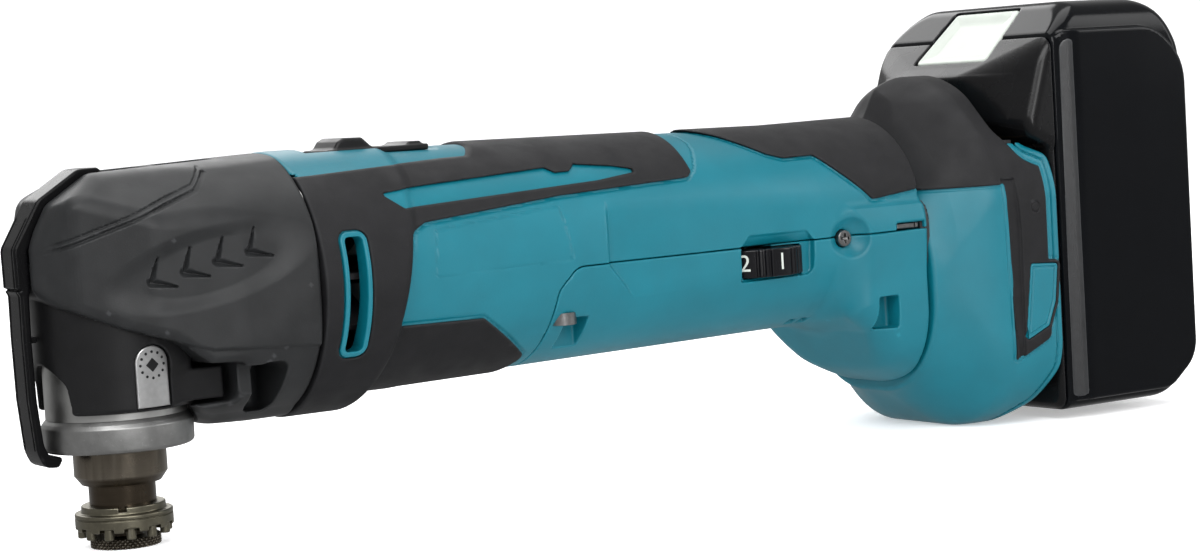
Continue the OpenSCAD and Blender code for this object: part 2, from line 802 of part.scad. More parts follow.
front_housing();
lower_housing();
rear_housing();
front_grip();
handle_grip();
rear_grip();
vent_frames();
rear_badges();
seam_clips();
head_housing();
neck_cover();
interface_badges();
gear_housing();
bearing_retainer();
spindle_upper_bearing();
spindle_lower_bearing();
spindle();
tool_holder();
swing_fork();
clamp_shaft();
clamp_spring();
lock_lever();
lever_pin();
motor_bracket();
motor_can();
field_magnets();
front_motor_bearing();
rear_motor_bearing();
brush_holder();
carbon_brushes();
motor_shaft();
armature();
commutator();
cooling_fan();
eccentric_bearing();
switch_slide();
switch_rod();
switch_unit();
control_board();
speed_dial();
dial_control();
battery_rails();
terminal_block();
terminal_blades();
lead_wires();
battery_case();
battery_cover();
battery_cells();
battery_contacts();
battery_button();
head_screws();
housing_screws();
side_screw();
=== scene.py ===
"""Cordless oscillating multi-tool: shells, grips, clamp, lever, dial and battery around the frame."""

import json
import math

import bmesh
import bpy
import numpy as np
from mathutils import Matrix, Vector


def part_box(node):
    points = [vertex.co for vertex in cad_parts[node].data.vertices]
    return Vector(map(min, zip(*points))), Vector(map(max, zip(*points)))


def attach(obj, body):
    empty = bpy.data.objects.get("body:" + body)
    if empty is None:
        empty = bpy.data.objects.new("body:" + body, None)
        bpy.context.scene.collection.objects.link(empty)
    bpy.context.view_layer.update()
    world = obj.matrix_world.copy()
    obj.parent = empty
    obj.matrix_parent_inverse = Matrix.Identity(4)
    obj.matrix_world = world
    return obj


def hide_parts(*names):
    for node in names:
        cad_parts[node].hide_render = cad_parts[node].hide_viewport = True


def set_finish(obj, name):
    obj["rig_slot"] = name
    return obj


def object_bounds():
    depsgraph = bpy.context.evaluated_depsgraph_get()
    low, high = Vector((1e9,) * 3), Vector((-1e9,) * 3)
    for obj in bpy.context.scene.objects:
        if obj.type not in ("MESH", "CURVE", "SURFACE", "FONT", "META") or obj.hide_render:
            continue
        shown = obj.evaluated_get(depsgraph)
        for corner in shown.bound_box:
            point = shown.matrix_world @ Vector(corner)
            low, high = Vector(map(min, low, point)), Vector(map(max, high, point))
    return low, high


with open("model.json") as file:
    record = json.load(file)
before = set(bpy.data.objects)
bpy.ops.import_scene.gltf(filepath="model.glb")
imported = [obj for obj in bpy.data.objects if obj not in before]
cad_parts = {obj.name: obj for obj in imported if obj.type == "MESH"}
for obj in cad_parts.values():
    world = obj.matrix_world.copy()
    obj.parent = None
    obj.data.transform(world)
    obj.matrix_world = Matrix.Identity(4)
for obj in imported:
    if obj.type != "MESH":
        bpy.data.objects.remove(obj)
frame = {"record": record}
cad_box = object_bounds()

MM = 0.001


def node_box(node):
    """A node's lowest and highest corners in millimetres."""
    low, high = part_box(node)
    return np.array(low) / MM, np.array(high) / MM


# ---------------------------------------------------------------- dimensions, mm
AXIS_Z = 54.5  # motor axis
RING_Z = 52.9  # centre of the wider ring around the fan
HEAD_BACK = node_box("head_housing")[1][0]  # joint between head and motor housing
(BODY_FRONT, _, _), (BODY_BACK, _, _) = node_box("front_housing")
(REAR_FRONT, _, REAR_LOW), (CHEEK_BACK, REAR_HALF, REAR_TOP) = node_box("rear_housing")
RAIL_FACE = 252.0  # the battery slides past this face
STEP_Z = 73.0  # the cheeks beside the battery end here
SEAM_Z = 51.5  # joint between upper and lower housings
(_, _, PACK_BOTTOM), (PACK_BACK, PACK_HALF, PACK_TOP) = node_box("battery_case")
WALL = 2.4  # thickness of the moulded shells
RUBBER = 0.8  # the grips stand this proud
NECK_R = 18.2
LEVER_HALF = node_box("lock_lever")[1][1]


# ---------------------------------------------------------------- distance fields
def outline(u, v, points):
    """Signed distance to a closed polygon, negative inside."""
    u, v = np.broadcast_arrays(np.asarray(u, float), np.asarray(v, float))
    best = np.full(u.shape, 1e9)
    inside = np.zeros(u.shape, bool)
    for (ax, ay), (bx, by) in zip(points, points[1:] + points[:1]):
        ex, ey = bx - ax, by - ay
        wx, wy = u - ax, v - ay
        along = np.clip((wx * ex + wy * ey) / (ex * ex + ey * ey), 0, 1)
        best = np.minimum(best, (wx - ex * along) ** 2 + (wy - ey * along) ** 2)
        if by != ay:
            inside ^= ((ay > v) != (by > v)) & (u < ex * (v - ay) / (by - ay) + ax)
    return np.where(inside, -1, 1) * np.sqrt(best)


def segment(u, v, a, b):
    """Distance to a line between two points."""
    ex, ey = b[0] - a[0], b[1] - a[1]
    wx, wy = u - a[0], v - a[1]
    along = np.clip((wx * ex + wy * ey) / (ex * ex + ey * ey), 0, 1)
    return np.hypot(wx - ex * along, wy - ey * along)


def polyline(u, v, points):
    return np.minimum.reduce([segment(u, v, a, b) for a, b in zip(points, points[1:])])


def arcs(points, steps=6):
    """A polygon whose corners are rounded: each point is (x, y) or (x, y, radius)."""
    made = []
    for i, p in enumerate(points):
        if len(p) == 2:
            made.append(tuple(p))
            continue
        here = np.array(p[:2], float)
        a = np.array(points[i - 1][:2], float) - here
        b = np.array(points[(i + 1) % len(points)][:2], float) - here
        la, lb = np.linalg.norm(a), np.linalg.norm(b)
        a, b = a / la, b / lb
        if abs(a[0] * b[1] - a[1] * b[0]) < 0.02:
            made.append(tuple(here))
            continue
        half = math.acos(max(-1, min(1, float(a @ b)))) / 2
        cut = min(p[2] / math.tan(half), la * 0.49, lb * 0.49)
        radius = cut * math.tan(half)
        middle = here + (a + b) / np.linalg.norm(a + b) * radius / math.sin(half)
        start, end = here + a * cut - middle, here + b * cut - middle
        turn = math.atan2(start[0] * end[1] - start[1] * end[0], float(start @ end))
        for k in range(steps + 1):
            c, s = math.cos(turn * k / steps), math.sin(turn * k / steps)
            made.append((middle[0] + c * start[0] - s * start[1], middle[1] + s * start[0] + c * start[1]))
    return made


def both(a, b, r=0.0):
    """Where a and b both are, with an outer edge rounded to r."""
    if r <= 0:
        return np.maximum(a, b)
    return np.minimum(-r, np.maximum(a, b)) + np.hypot(np.maximum(a + r, 0), np.maximum(b + r, 0))


def either(a, b, r=0.0):
    """Where a or b is, with the inner corner filleted to r."""
    return -both(-a, -b, r)


def less(a, b, r=0.0):
    """a with b taken away."""
    return both(a, -b, r)


def box_field(x, y, z, low, high, r=0.0):
    mid, half = (np.array(low) + high) / 2, (np.array(high) - low) / 2
    d = [np.abs(p - m) - (h - r) for p, m, h in zip((x, y, z), mid, half)]
    out = np.sqrt(sum(np.maximum(q, 0) ** 2 for q in d))
    return out + np.minimum(np.maximum(np.maximum(d[0], d[1]), d[2]), 0) - r


def rounded(du, dv, r):
    """Distance to a rectangle with corners of radius r, from the distances to its sides."""
    outside = np.hypot(np.maximum(du + r, 0), np.maximum(dv + r, 0))
    return outside + np.minimum(np.maximum(du, dv) + r, 0) - r


def cross(u, v, thick, reach):
    """Distance to the recess of a cross-head screw."""
    u, v = np.abs(u), np.abs(v)
    return np.minimum(np.maximum(u - thick, v - reach), np.maximum(v - thick, u - reach))


def smooth(x, a, b):
    t = np.clip((x - a) / (b - a), 0, 1)
    return t * t * (3 - 2 * t)


# ---------------------------------------------------------------- meshing
CORNERS = [(i, j, k) for i in (0, 1) for j in (0, 1) for k in (0, 1)]


def surface_net(field, low, high, cell):
    """Vertices and quads of the zero surface of a field, between two corners."""
    axes = [np.arange(l - 1.5 * cell, h + 2 * cell, cell) for l, h in zip(low, high)]
    x, y, z = np.meshgrid(*axes, indexing="ij", sparse=True)
    shape = tuple(len(a) for a in axes)
    d = np.ascontiguousarray(np.broadcast_to(field(x, y, z), shape), np.float32)
    inside = d < 0
    n = [s - 1 for s in shape]
    count = sum(inside[i:i + n[0], j:j + n[1], k:k + n[2]].astype(np.uint8) for i, j, k in CORNERS)
    active = (count > 0) & (count < 8)
    cells = np.argwhere(active)
    index = np.full(active.shape, -1, np.int64)
    index[active] = np.arange(len(cells))
    values = {c: d[cells[:, 0] + c[0], cells[:, 1] + c[1], cells[:, 2] + c[2]] for c in CORNERS}
    total, hits = np.zeros((len(cells), 3)), np.zeros(len(cells))
    for a in CORNERS:
        for axis in range(3):
            if a[axis]:
                continue
            b = tuple(1 if q == axis else a[q] for q in range(3))
            va, vb = values[a], values[b]
            cross = (va < 0) != (vb < 0)
            t = np.where(cross, va / np.where(cross, va - vb, 1), 0)
            for q in range(3):
                total[:, q] += cross * (a[q] + (t if q == axis else 0))
            hits += cross
    start = np.array([a[0] for a in axes])
    points = (cells + total / hits[:, None]) * cell + start
    quads = []
    for axis in range(3):
        u, v = (axis + 1) % 3, (axis + 2) % 3
        first = [slice(1, -1)] * 3
        first[axis] = slice(0, -1)
        second = list(first)
        second[axis] = slice(1, None)
        a, b = inside[tuple(first)], inside[tuple(second)]
        for sign in (False, True):
            at = np.argwhere((a != b) & (a == sign))
            at += [0 if q == axis else 1 for q in range(3)]
            ring = []
            for du, dv in ((0, 0), (-1, 0), (-1, -1), (0, -1)):
                cell_at = at.copy()
                cell_at[:, u] += du
                cell_at[:, v] += dv
                ring.append(index[cell_at[:, 0], cell_at[:, 1], cell_at[:, 2]])
            quads.append(np.stack(ring if sign else ring[::-1], 1))
    return points, np.concatenate(quads)


def slopes(field, p, h):
    g = np.empty_like(p)
    for q in range(3):
        step = np.zeros(3)
        step[q] = h
        g[:, q] = field(*(p + step).T) - field(*(p - step).T)
    return g / (2 * h)


PIECES = {}


def new_object(name, mesh):
    obj = bpy.data.objects.new(name, mesh)
    bpy.context.scene.collection.objects.link(obj)
    PIECES[name] = obj
    return obj


def moulded(name, field, low, high, cell):
    """A closed piece whose surface is the zero surface of a field, with the field's own normals."""
    points, quads = surface_net(field, low, high, cell)
    for _ in range(2):
        g = slopes(field, points, cell * 0.2)
        size = np.maximum((g * g).sum(1), 0.25)
        move = -(field(*points.T) / size)[:, None] * g
        far = np.linalg.norm(move, axis=1, keepdims=True)
        points = points + move * np.minimum(1, 0.35 * cell / np.maximum(far, 1e-9))
    mesh = bpy.data.meshes.new(name)
    mesh.vertices.add(len(points))
    mesh.vertices.foreach_set("co", (points * MM).astype(np.float32).ravel())
    mesh.loops.add(quads.size)
    mesh.loops.foreach_set("vertex_index", quads.astype(np.int32).ravel())
    mesh.polygons.add(len(quads))
    mesh.polygons.foreach_set("loop_start", np.arange(0, quads.size, 4, dtype=np.int32))
    mesh.update(calc_edges=True)
    mesh.validate()
    mesh.polygons.foreach_set("use_smooth", np.ones(len(mesh.polygons), bool))
    normal = slopes(field, points, cell * 0.3)
    normal /= np.maximum(np.linalg.norm(normal, axis=1, keepdims=True), 1e-9)
    if len(mesh.vertices) == len(normal):
        mesh.normals_split_custom_set_from_vertices(normal.tolist())
    return new_object(name, mesh)


# ---------------------------------------------------------------- motor housing
RING_R = 31.3  # bare housing under the front grip
PROFILE_X = [BODY_FRONT - 5, 69.0, 72.5, 190.0, BODY_BACK + 5]
PROFILE_R = [29.2, 29.2, 29.0, 27.0, 27.5]
WAIST = 25.7  # flat side of the handle
VENT_X, VENT_Z = (48.2, 54.6), (35.5, 65.8)


def tube(x, y, z):
    """The nearly round motor housing, with its wider ring and the flats on the handle."""
    round_part = np.hypot(y, z - AXIS_Z) - np.interp(x, PROFILE_X, PROFILE_R)
    flat = np.abs(y) - (WAIST + 3.5 * (1 - smooth(x - 0.78 * np.maximum(0, 51 - z), 119.8, 122.8)))
    handle = both(round_part, flat, 0.7)
    ring = both(np.hypot(y, z - RING_Z) - RING_R, (x - 60.4 - 0.22 * (z - 41.8)) / 1.024, 1.6)
    return both(both(either(handle, ring, 2.5), BODY_FRONT - x, 0.9), x - BODY_BACK, 0.9)


FLARE = arcs([(198, 60), (198, 31, 4), (205.5, 25.5, 4), (213, 14.5, 12), (221, 8.2, 8), (226, 6.8),
              (240, 6.8), (240, 60)])


def flare(x, y, z):
    """The deep rear end of the lower housing."""
    section = both(both(np.abs(y) - 28.1, 7.2 - z, 24), z - 60)
    return both(both(outline(x, z, FLARE), section, 7), x - BODY_BACK, 0.9)


def body(x, y, z):
    return either(tube(x, y, z), flare(x, y, z), 5)


SEAM = arcs([(103, -20), (104.8, 29), (105.6, 38, 8), (106.4, 46, 5), (111.5, SEAM_Z, 5),
             (163, SEAM_Z + 0.2), (236, SEAM_Z + 1), (236, -20)])
DIAL_X, DIAL_Z = (164.6, 183.6), (43.4, 51.2)
SCREW_X, SCREW_Z = 197.0, 51.6  # dish around the side screw


def upper_lower(x, z):
    """Distance to the lower housing's outline, negative in it."""
    return outline(x, z, SEAM)


def vent(x, z, grow=0.0):
    """A tall slot that follows the curve of the ring, a little leaning."""
    lean = (z - VENT_Z[0]) * 0.03
    mid = (VENT_X[0] + VENT_X[1]) / 2 - 3.2 + lean - 0.001 * (z - 50) ** 2
    du = np.abs(x - mid) - 2.3
    dv = np.abs(z - (VENT_Z[0] + VENT_Z[1]) / 2) - 13.4
    return rounded(du, dv, 1.2) - grow


def screw_pocket(x, y, z):
    """The square pockets beside the housing screws, on both sides."""
    side_y = np.abs(y)
    front = box_field(x, side_y, z, (110.1, 15.5, 31.0), (116.9, 40, 38.8), 0.6)
    rear = box_field(x, side_y, z, (205.6, 22.4, 26.5), (212.2, 34, 35.2), 0.8)
    return np.minimum(front, rear)


def hollow(x, y, z, b):
    """The housing's inside, which stays clear of the pockets, the dial, the switch and the two ends."""
    dial = box_field(x, y, z, (160, -40, 38), (191, -20, 58))
    screw = np.maximum(np.hypot(x - SCREW_X, z - SCREW_Z) - 7.5, y + 20)
    solid = np.minimum(np.minimum(screw_pocket(x, y, z) - 1.6, dial), screw)
    solid = np.minimum(solid, box_field(x, y, z, (46, -9.5, 79.4), (90, 9.5, 86)))
    return np.maximum(np.maximum(np.maximum(b + WALL, -solid), BODY_FRONT - 1 - x), x - BODY_BACK + WALL)


def shared_cuts(x, y, z, d):
    """What both halves of the housing leave open: pockets, the screw's dish and the dial's recess."""
    d = less(d, screw_pocket(x, y, z), 0.4)
    d = less(d, np.sqrt((x - SCREW_X) ** 2 + (z - SCREW_Z) ** 2 + (y + 30.9) ** 2) - 7.0, 0.5)
    d = less(d, np.maximum(np.hypot(x - SCREW_X, z - SEAM_Z) - 2.35, y + 20))
    return less(d, dial_pocket(x, y, z), 0.35)


def groove(distance, width, depth):
    """How far a soft V groove of this width cuts in, at a distance from its line."""
    return depth * np.clip(1 - np.abs(distance) * 2 / width, 0, 1)


def front_shell(x, y, z):
    b = body(x, y, z)
    grips = np.minimum(outline(x, z, FRONT_GRIP), outline(x, z, HANDLE_GRIP))
    plate = np.abs(outline(x, z, arcs([(71, 52.5, 1), (72.5, 63.6, 1), (108.5, 66.9, 1), (110.4, 53.5, 1)])))
    near_side = np.abs(y) > 12
    b_cut = b + groove(grips - 0.55, 0.9, 0.35) + groove(plate, 0.7, 0.22) * near_side
    d = less(b_cut, upper_lower(x, z) - 0.12, 0.35)
    d = less(d, hollow(x, y, z, b))
    d = less(d, np.maximum(vent(x, z, 0.2), 22 - np.abs(y)))
    d = shared_cuts(x, y, z, d)
    # the grip wraps the front edge, except at the bare strip around the switch
    strip = np.maximum(outline(x, z, BARE_TOP), np.abs(y) - 30)
    d = less(d, np.maximum(x - 41.4, -strip - 0.3))
    d = less(d, box_field(x, y, z, (49.5, -7.2, 82.5), (86.5, 7.2, 100), 0.6), 0.5)
    d = less(d, box_field(x, y, z, (59.2, -3.5, 76), (72.8, 3.5, 90), 0.3))
    return less(d, box_field(x, np.abs(y), z, (212.6, 26.0, 52.2), (222.0, 40, 54.3), 0.3), 0.3)


def dial_pocket(x, y, z):
    """The recess around the dial, on one side, with a sloping upper face."""
    face = arcs([(163.0, 42.8, 0.8), (163.0, 51.6, 0.5), (166.0, 54.6, 0.8), (184.4, 54.6, 0.8),
                 (186.8, 51.8, 0.5), (186.4, 43.2, 2)])
    floor_y = y + 23.6 + 1.6 * smooth(z, 51.4, 54.8)
    return both(outline(x, z, face), floor_y, 0.4)


def dial_window(x, y, z):
    return box_field(x, y, z, (DIAL_X[0], -40, DIAL_Z[0]), (DIAL_X[1], -10, DIAL_Z[1]), 0.3)


def lower_shell(x, y, z):
    b = body(x, y, z)
    d = both(b, upper_lower(x, z) + 0.12, 0.35)
    d = less(d, hollow(x, y, z, b))
    d = shared_cuts(x, y, z, d)
    for cx in (188.6, 192.6):
        d = less(d, box_field(x, np.abs(y), z, (cx - 1.3, 9.0, 20), (cx + 1.3, 13.5, 30.5), 0.4), 0.3)
    return less(d, dial_window(x, y, z), 0.2)


# ---------------------------------------------------------------- battery housing
def to_wall(value, x, wall_at):
    """Distance to a wall whose place changes along X."""
    slope = (wall_at(x + 0.05) - wall_at(x - 0.05)) / 0.1
    return (value - wall_at(x)) / np.hypot(1, slope)


GRIP_HALF, GRIP_TOP, GRIP_LOW = 28.3, 82.6, 7.4  # the housing's section where it meets the grip


def rear_half(x):
    return GRIP_HALF + (REAR_HALF - GRIP_HALF) * smooth(x, 219, 246)


def rear_top(x):
    return GRIP_TOP + (REAR_TOP - GRIP_TOP) * smooth(x, 221.5, 230.5)


def rear_bottom(x):
    return -GRIP_LOW - (REAR_LOW - GRIP_LOW) * smooth(x, 221, 242)


def rear_shoulder(x):
    return (81 + 23.2 * smooth(x, 219, 243) - 0.3 * (REAR_TOP - rear_top(x))) / math.sqrt(2)


def rear_body(x, y, z):
    """The housing between grip and battery: it swells from the grip to the battery's size."""
    d = both(to_wall(np.abs(y), x, rear_half), to_wall(z, x, rear_top), 6)
    d = both(d, to_wall((np.abs(y) + z) / math.sqrt(2), x, rear_shoulder), 7)
    return both(d, to_wall(-z, x, rear_bottom), 24)


REAR_SIDE = arcs([(100, -30), (250, -30), (250, -3.4, 6), (256.5, 1.5, 8), (CHEEK_BACK - 0.2, 11, 8),
                  (CHEEK_BACK, STEP_Z - 3.5, 2.5), (RAIL_FACE + 3.2, STEP_Z - 0.5, 3),
                  (RAIL_FACE, STEP_Z + 5, 3), (RAIL_FACE, 120), (100, 120)])
STRIPE = 2.1  # from the rear edge to the line in the trim
GRIP_EDGE = 4.6  # width of the bare trim
REAR_GRIP = arcs([(REAR_FRONT - 3, 62), (243.4, 62.4, 0.6), (244.8, 14.2, 0.8), (262, 22, 1), (270, 30),
                  (270, 130), (REAR_FRONT - 3, 130)])
BADGE = arcs([(250.8, 40.4, 0.8), (260.4, 39.8, 0.8), (259.1, 29.5, 1), (256.3, 23.0, 1),
              (247.9, 19.6, 0.8)])
FACET = arcs([(242.3, 63.9), (247.2, 63.9), (248.2, 50), (247.8, 15), (245.3, 12)])


def rear_edge(x, z):
    """Distance inside the rear edge of the housing, as a negative number."""
    return outline(x, z, REAR_SIDE)


def rear_shell(x, y, z):
    b = rear_body(x, y, z)
    edge = rear_edge(x, z)
    grip = both(outline(x, z, REAR_GRIP), edge + GRIP_EDGE, 1.5)
    border = np.minimum(grip, outline(x, z, BADGE) - 1.2) - 0.5
    cut = groove(edge + STRIPE, 0.9, 1.0) + groove(border, 0.8, 0.3)
    d = both(both(b + cut, edge, 0.7), REAR_FRONT + 0.3 - x, 0.9)
    # room for the wiring, and the bay that the battery's rail block slides in
    d = less(d, np.maximum(np.maximum(b + WALL, x - 246), REAR_FRONT + 3 - x))
    d = less(d, box_field(x, y, z, (230, -22, 12), (250, 22, 70)))
    return less(d, box_field(x, y, z, (248, -30.5, 5), (280, 30.5, 140), 0.5), 0.6)


def patch(surface, zone, proud=RUBBER, depth=1.1, r=0.55):
    """A skin that stands proud of a surface inside a zone and reaches a little under it."""
    return np.maximum(both(surface - proud, zone, r), -(surface + depth))


def rear_grip(x, y, z):
    zone = both(outline(x, z, REAR_GRIP), rear_edge(x, z) + GRIP_EDGE, 1.5)
    zone = either(zone, outline(x, z, BADGE) - 1.1, 0.3)
    b = rear_body(x, y, z)
    # a sloping facet down the front of the tall band, and a small moulded ring above the badge
    ring = groove(np.hypot(x - 253.4, z - 55.6) - 1.4, 0.7, 0.35)
    sunk = 0.75 * smooth(-outline(x, z, FACET), 0.0, 0.5) + ring
    d = both(patch(b + sunk * (np.abs(y) > 20), zone), REAR_FRONT + 0.5 - x, 0.5)
    return less(d, outline(x, z, BADGE) - 0.12, 0.25)


def rear_badge(x, y, z):
    b = rear_body(x, y, z) + groove(outline(x, z, BADGE) + 1.0, 0.8, 0.35)
    return patch(b, outline(x, z, BADGE), RUBBER - 0.1, 1.1, 0.3)


# ---------------------------------------------------------------- front and handle grips
FRONT_GRIP = arcs([(30, 0), (70.5, 0), (70.5, 20), (98.5, 24.5, 2), (102, 30, 1.5), (85.2, 41.4, 2),
                   (60.6, 41.8, 1.2), (65.4, 63.5, 2), (69.8, 65.7, 3), (110, 69.2), (149.5, 70.9, 2),
                   (152.5, 73), (157, 79, 4), (156, 100), (30, 100)])
BARE_TOP = arcs([(30, 78.3), (44, 78.6), (83, 80.3), (90.5, 80.4, 2), (95, 83, 3), (94, 100), (30, 100)])
SPEAR = arcs([(60, 73.2, 0.4), (64.9, 69.4, 0.6), (122.7, 72.1), (137, 73.6, 0.5), (129, 75.2),
              (118, 76.4, 0.5), (115.6, 74.8, 0.5), (111.4, 74.7, 0.5), (109, 76.1, 0.6), (68, 74, 1)])


def front_grip(x, y, z):
    zone = outline(x, z, FRONT_GRIP)
    zone = np.maximum(zone, -np.maximum(outline(x, z, BARE_TOP), np.abs(y) - 30))
    zone = np.maximum(zone, -outline(x, z, SPEAR))
    zone = np.maximum(zone, -vent(x, z, 1.5))
    b = body(x, y, z)
    skin = np.minimum(patch(b, zone), np.maximum(patch(b, zone, RUBBER, WALL - 0.1), x - 41.3))
    return both(skin, BODY_FRONT + 0.05 - x, 0.4)


HANDLE_GRIP = arcs([(160, 110), (161.5, 83), (168, 80.5, 6), (178, 75, 4), (182.5, 73.6, 2),
                    (192.4, 73.8, 2), (206.6, 61.1, 1.5), (221.9, 62.8, 1), (221.9, 110)])


def handle_grip(x, y, z):
    return patch(body(x, y, z), outline(x, z, HANDLE_GRIP))


def vent_frame(x, y, z):
    """The bare rim around each vent, as deep as the wall."""
    ring = np.maximum(vent(x, z, 1.25), -vent(x, z, 0.0))
    wall_part = np.maximum(body(x, y, z) - 1.0, -(body(x, y, z) + 5))
    return both(both(ring, wall_part, 0.45), 20 - np.abs(y))


# ---------------------------------------------------------------- head
HEAD_SIDE = arcs([(-21.2, 57.4, 1.2), (-16.4, 52.8, 1.5), (-4.6, 47.2, 8), (6, 43.8, 8), (10.6, 39.4, 4),
                  (13.4, 37.2, 2), (20.9, 36.9, 0.6), (20.9, 29.2, 0.6), (9.5, 28.7, 0.5), (20.2, 20.9, 5),
                  (30, 19.9), (HEAD_BACK + 8, 20.3), (HEAD_BACK + 8, 85.6), (18, 83.8, 12), (-5.6, 82.7, 5),
                  (-15.9, 76.1, 4), (-21.3, 66.4, 3)])
HEAD_PLAN = arcs([(-21.6, 0), (-21.3, -6.4, 2.5), (-14.6, -16.4, 8), (2, -23.6, 14), (22, -28.0, 16),
                  (HEAD_BACK + 12, -32.5), (HEAD_BACK + 12, 32.5), (22, 28.0, 16), (2, 23.6, 14),
                  (-14.6, 16.4, 8), (-21.3, 6.4, 2.5)])
HEAD_Z = 53.2  # middle of the head's round section
PANEL_LINE = [(-22, 65.6), (14.6, 78.6), (19.0, 82.6)]


def chevrons(x, z):
    """Depth of four open arrow marks along a rising line, cut as tapering V grooves."""
    depth = 0.0
    for i in range(4):
        ax, az = 1.6 + 7.4 * i, 57.4 + 1.75 * i
        up = segment(x, z, (ax, az), (ax + 1.5, az + 5.6)) / np.clip(0.75 - (z - az) * 0.09, 0.15, 0.75)
        out = segment(x, z, (ax, az), (ax + 5.6, az - 1.3)) / np.clip(1.2 - (x - ax) * 0.17, 0.2, 1.2)
        depth = np.maximum(depth, 1.25 * np.clip(1 - np.minimum(up, out), 0, 1))
    return depth


def head_form(x, y, z):
    side = outline(x, z, HEAD_SIDE)
    plan = outline(x, y, HEAD_PLAN)
    top_half = both(side, plan, 2.6)
    section = np.hypot(y, z - HEAD_Z) - 32.2
    d = both(top_half, section, 2.5)
    # slanted facets along the top edges, which fade towards the motor
    return both(d, (np.abs(y) * 0.62 + (z - HEAD_Z) * 0.78) - 29.4 - 4.2 * smooth(x, 4, 24), 2.2)


def head_cover(x, y, z):
    side_y = np.abs(y)
    outer = head_form(x, y, z)
    ridge = np.sqrt(((x - 15) / 25) ** 2 + ((z - 60.2 - 0.2 * (x - 15)) / 9.5) ** 2)
    line = polyline(x, z, PANEL_LINE)
    lower_line = polyline(x, z, [(a, b - 1.3) for a, b in PANEL_LINE])
    band = np.interp(x, [-16, -4, 14, 40], [51.5, 46.8, 41.6, 40.2])
    cut = (1.3 * (1 - smooth(ridge, 0.6, 1.0)) + 0.8 * smooth(band - z, 0, 0.9) + chevrons(x, z)
           + groove(line, 0.9, 0.5) + groove(lower_line, 1.1, 0.7))
    d = outer + cut * smooth(side_y, 9, 14)
    # slot for the lever, screw pockets, room for the neck and for the casting inside
    d = less(d, box_field(x, y, z, (-40, -LEVER_HALF - 0.4, 62.5), (10.5, LEVER_HALF + 0.4, 100), 0.4), 0.5)
    d = less(d, np.maximum(side_y - LEVER_HALF - 0.4, x + 19.6), 0.5)
    d = less(d, box_field(x, y, z, (12, -4.5, 82.9), (27, 4.5, 90), 0.4), 0.4)
    d = less(d, box_field(x, side_y, z, (25.2, 6, 24.6), (32.4, 50, 36.9), 2.2), 0.6)
    d = less(d, box_field(x, side_y, z, (20.0, 20.4, 29.4), (28, 50, 36.6), 0.8), 0.4)
    d = less(d, np.maximum(np.hypot(x, y) - NECK_R - 0.15, z - 52))
    d = less(d, np.maximum(np.hypot(x, y) - 16.4, z - 71.3))
    d = less(d, box_field(x, y, z, (0, -15.9, 43.8), (60, 15.9, 71.3)))
    d = less(d, np.maximum(np.hypot(y, z - AXIS_Z) - 26.2, 35.8 - x))
    return both(d, x - HEAD_BACK, 0.9)


def neck_shell(x, y, z):
    ring = np.hypot(x, y)
    d = np.maximum(both(ring - NECK_R, 28.1 - z, 1.0), z - 56)
    wedge = box_field(x, y, z, (2, -17.2, 29.2), (19.6, 17.2, 36.6), 0.6)
    web = both(box_field(x, y, z, (2, -17.9, 36), (13, 17.9, 46), 2.0), ring - NECK_R - 2.6, 2)
    d = either(either(d, wedge, 1.5), web, 1.2)
    # arched opening at the front, and the recess that the badge sits in
    half = 9.8 - np.maximum(z - 30, 0) * 0.16
    opening = both(np.maximum(np.abs(y) - half, x + 5), z - (39.5 - 0.055 * y * y), 0.5)
    d = less(d, opening, 0.8)
    badge = np.maximum(badge_zone(x, z) - 0.25, np.maximum(NECK_R - 0.7 - ring, 8 - np.abs(y)))
    d = less(d, badge, 0.2)
    return less(d, np.maximum(ring - (NECK_R - 1.8), z - 60))


def badge_zone(x, z):
    return np.maximum(np.hypot(x - 2, np.maximum(z - 38.8, 0)) - 4.2, 28.9 - z)


def interface_badge(x, y, z):
    """A foil plate with a rounded top on each side of the neck."""
    ring = np.hypot(x, y)
    d = np.maximum(both(badge_zone(x, z), ring - NECK_R + 0.15, 0.3), NECK_R - 1.5 - ring)
    return np.maximum(d, 8 - np.abs(y))


def badge_mark(x, y, z):
    """A ring of dots round a diamond, printed on the foil."""
    ring = np.hypot(x, y)
    marks = (np.abs(x - 2) + np.abs(z - 38.6)) * 0.7 - 1.15
    for i in range(12):
        a = math.radians(i * 30)
        marks = np.minimum(marks, np.hypot(x - 2 - 3.0 * math.cos(a), z - 38.6 - 3.0 * math.sin(a)) - 0.34)
    return np.maximum(np.maximum(marks, np.abs(ring - NECK_R + 0.2) - 0.14), 8 - np.abs(y))


# ---------------------------------------------------------------- lever
LEVER_OUT = [(-16.6, 16.2, 1.0), (-20.0, 16.5, 2.5), (-21.6, 20, 8), (-22.6, 32, 20), (-22.8, 46, 20),
             (-22.7, 56, 1.5), (-23.6, 57.4, 0.6), (-23.7, 66.6, 3), (-17.2, 77.4, 4), (-7, 83.8, 4),
             (-2.2, 83.9, 1.0)]
LEVER_IN = [(2.8, 80.0, 0.8), (2.8, 75, 0.5), (-3, 79, 1), (-7.4, 79, 2), (-15.5, 73.8, 2),
            (-20.2, 66, 1.5), (-20.2, 58, 0.8), (-20.7, 55.5, 2), (-20.9, 46, 10), (-20.7, 32, 20),
            (-19.8, 21.6, 6), (-18.6, 19.0, 1.5), (-15.2, 18.6, 0.8)]
LEVER = arcs(LEVER_OUT + LEVER_IN)
PIVOT = (-3.0, 73.5)
LOBE = (PIVOT[0] + 6.5 * math.cos(math.radians(20)), PIVOT[1] + 6.5 * math.sin(math.radians(20)))


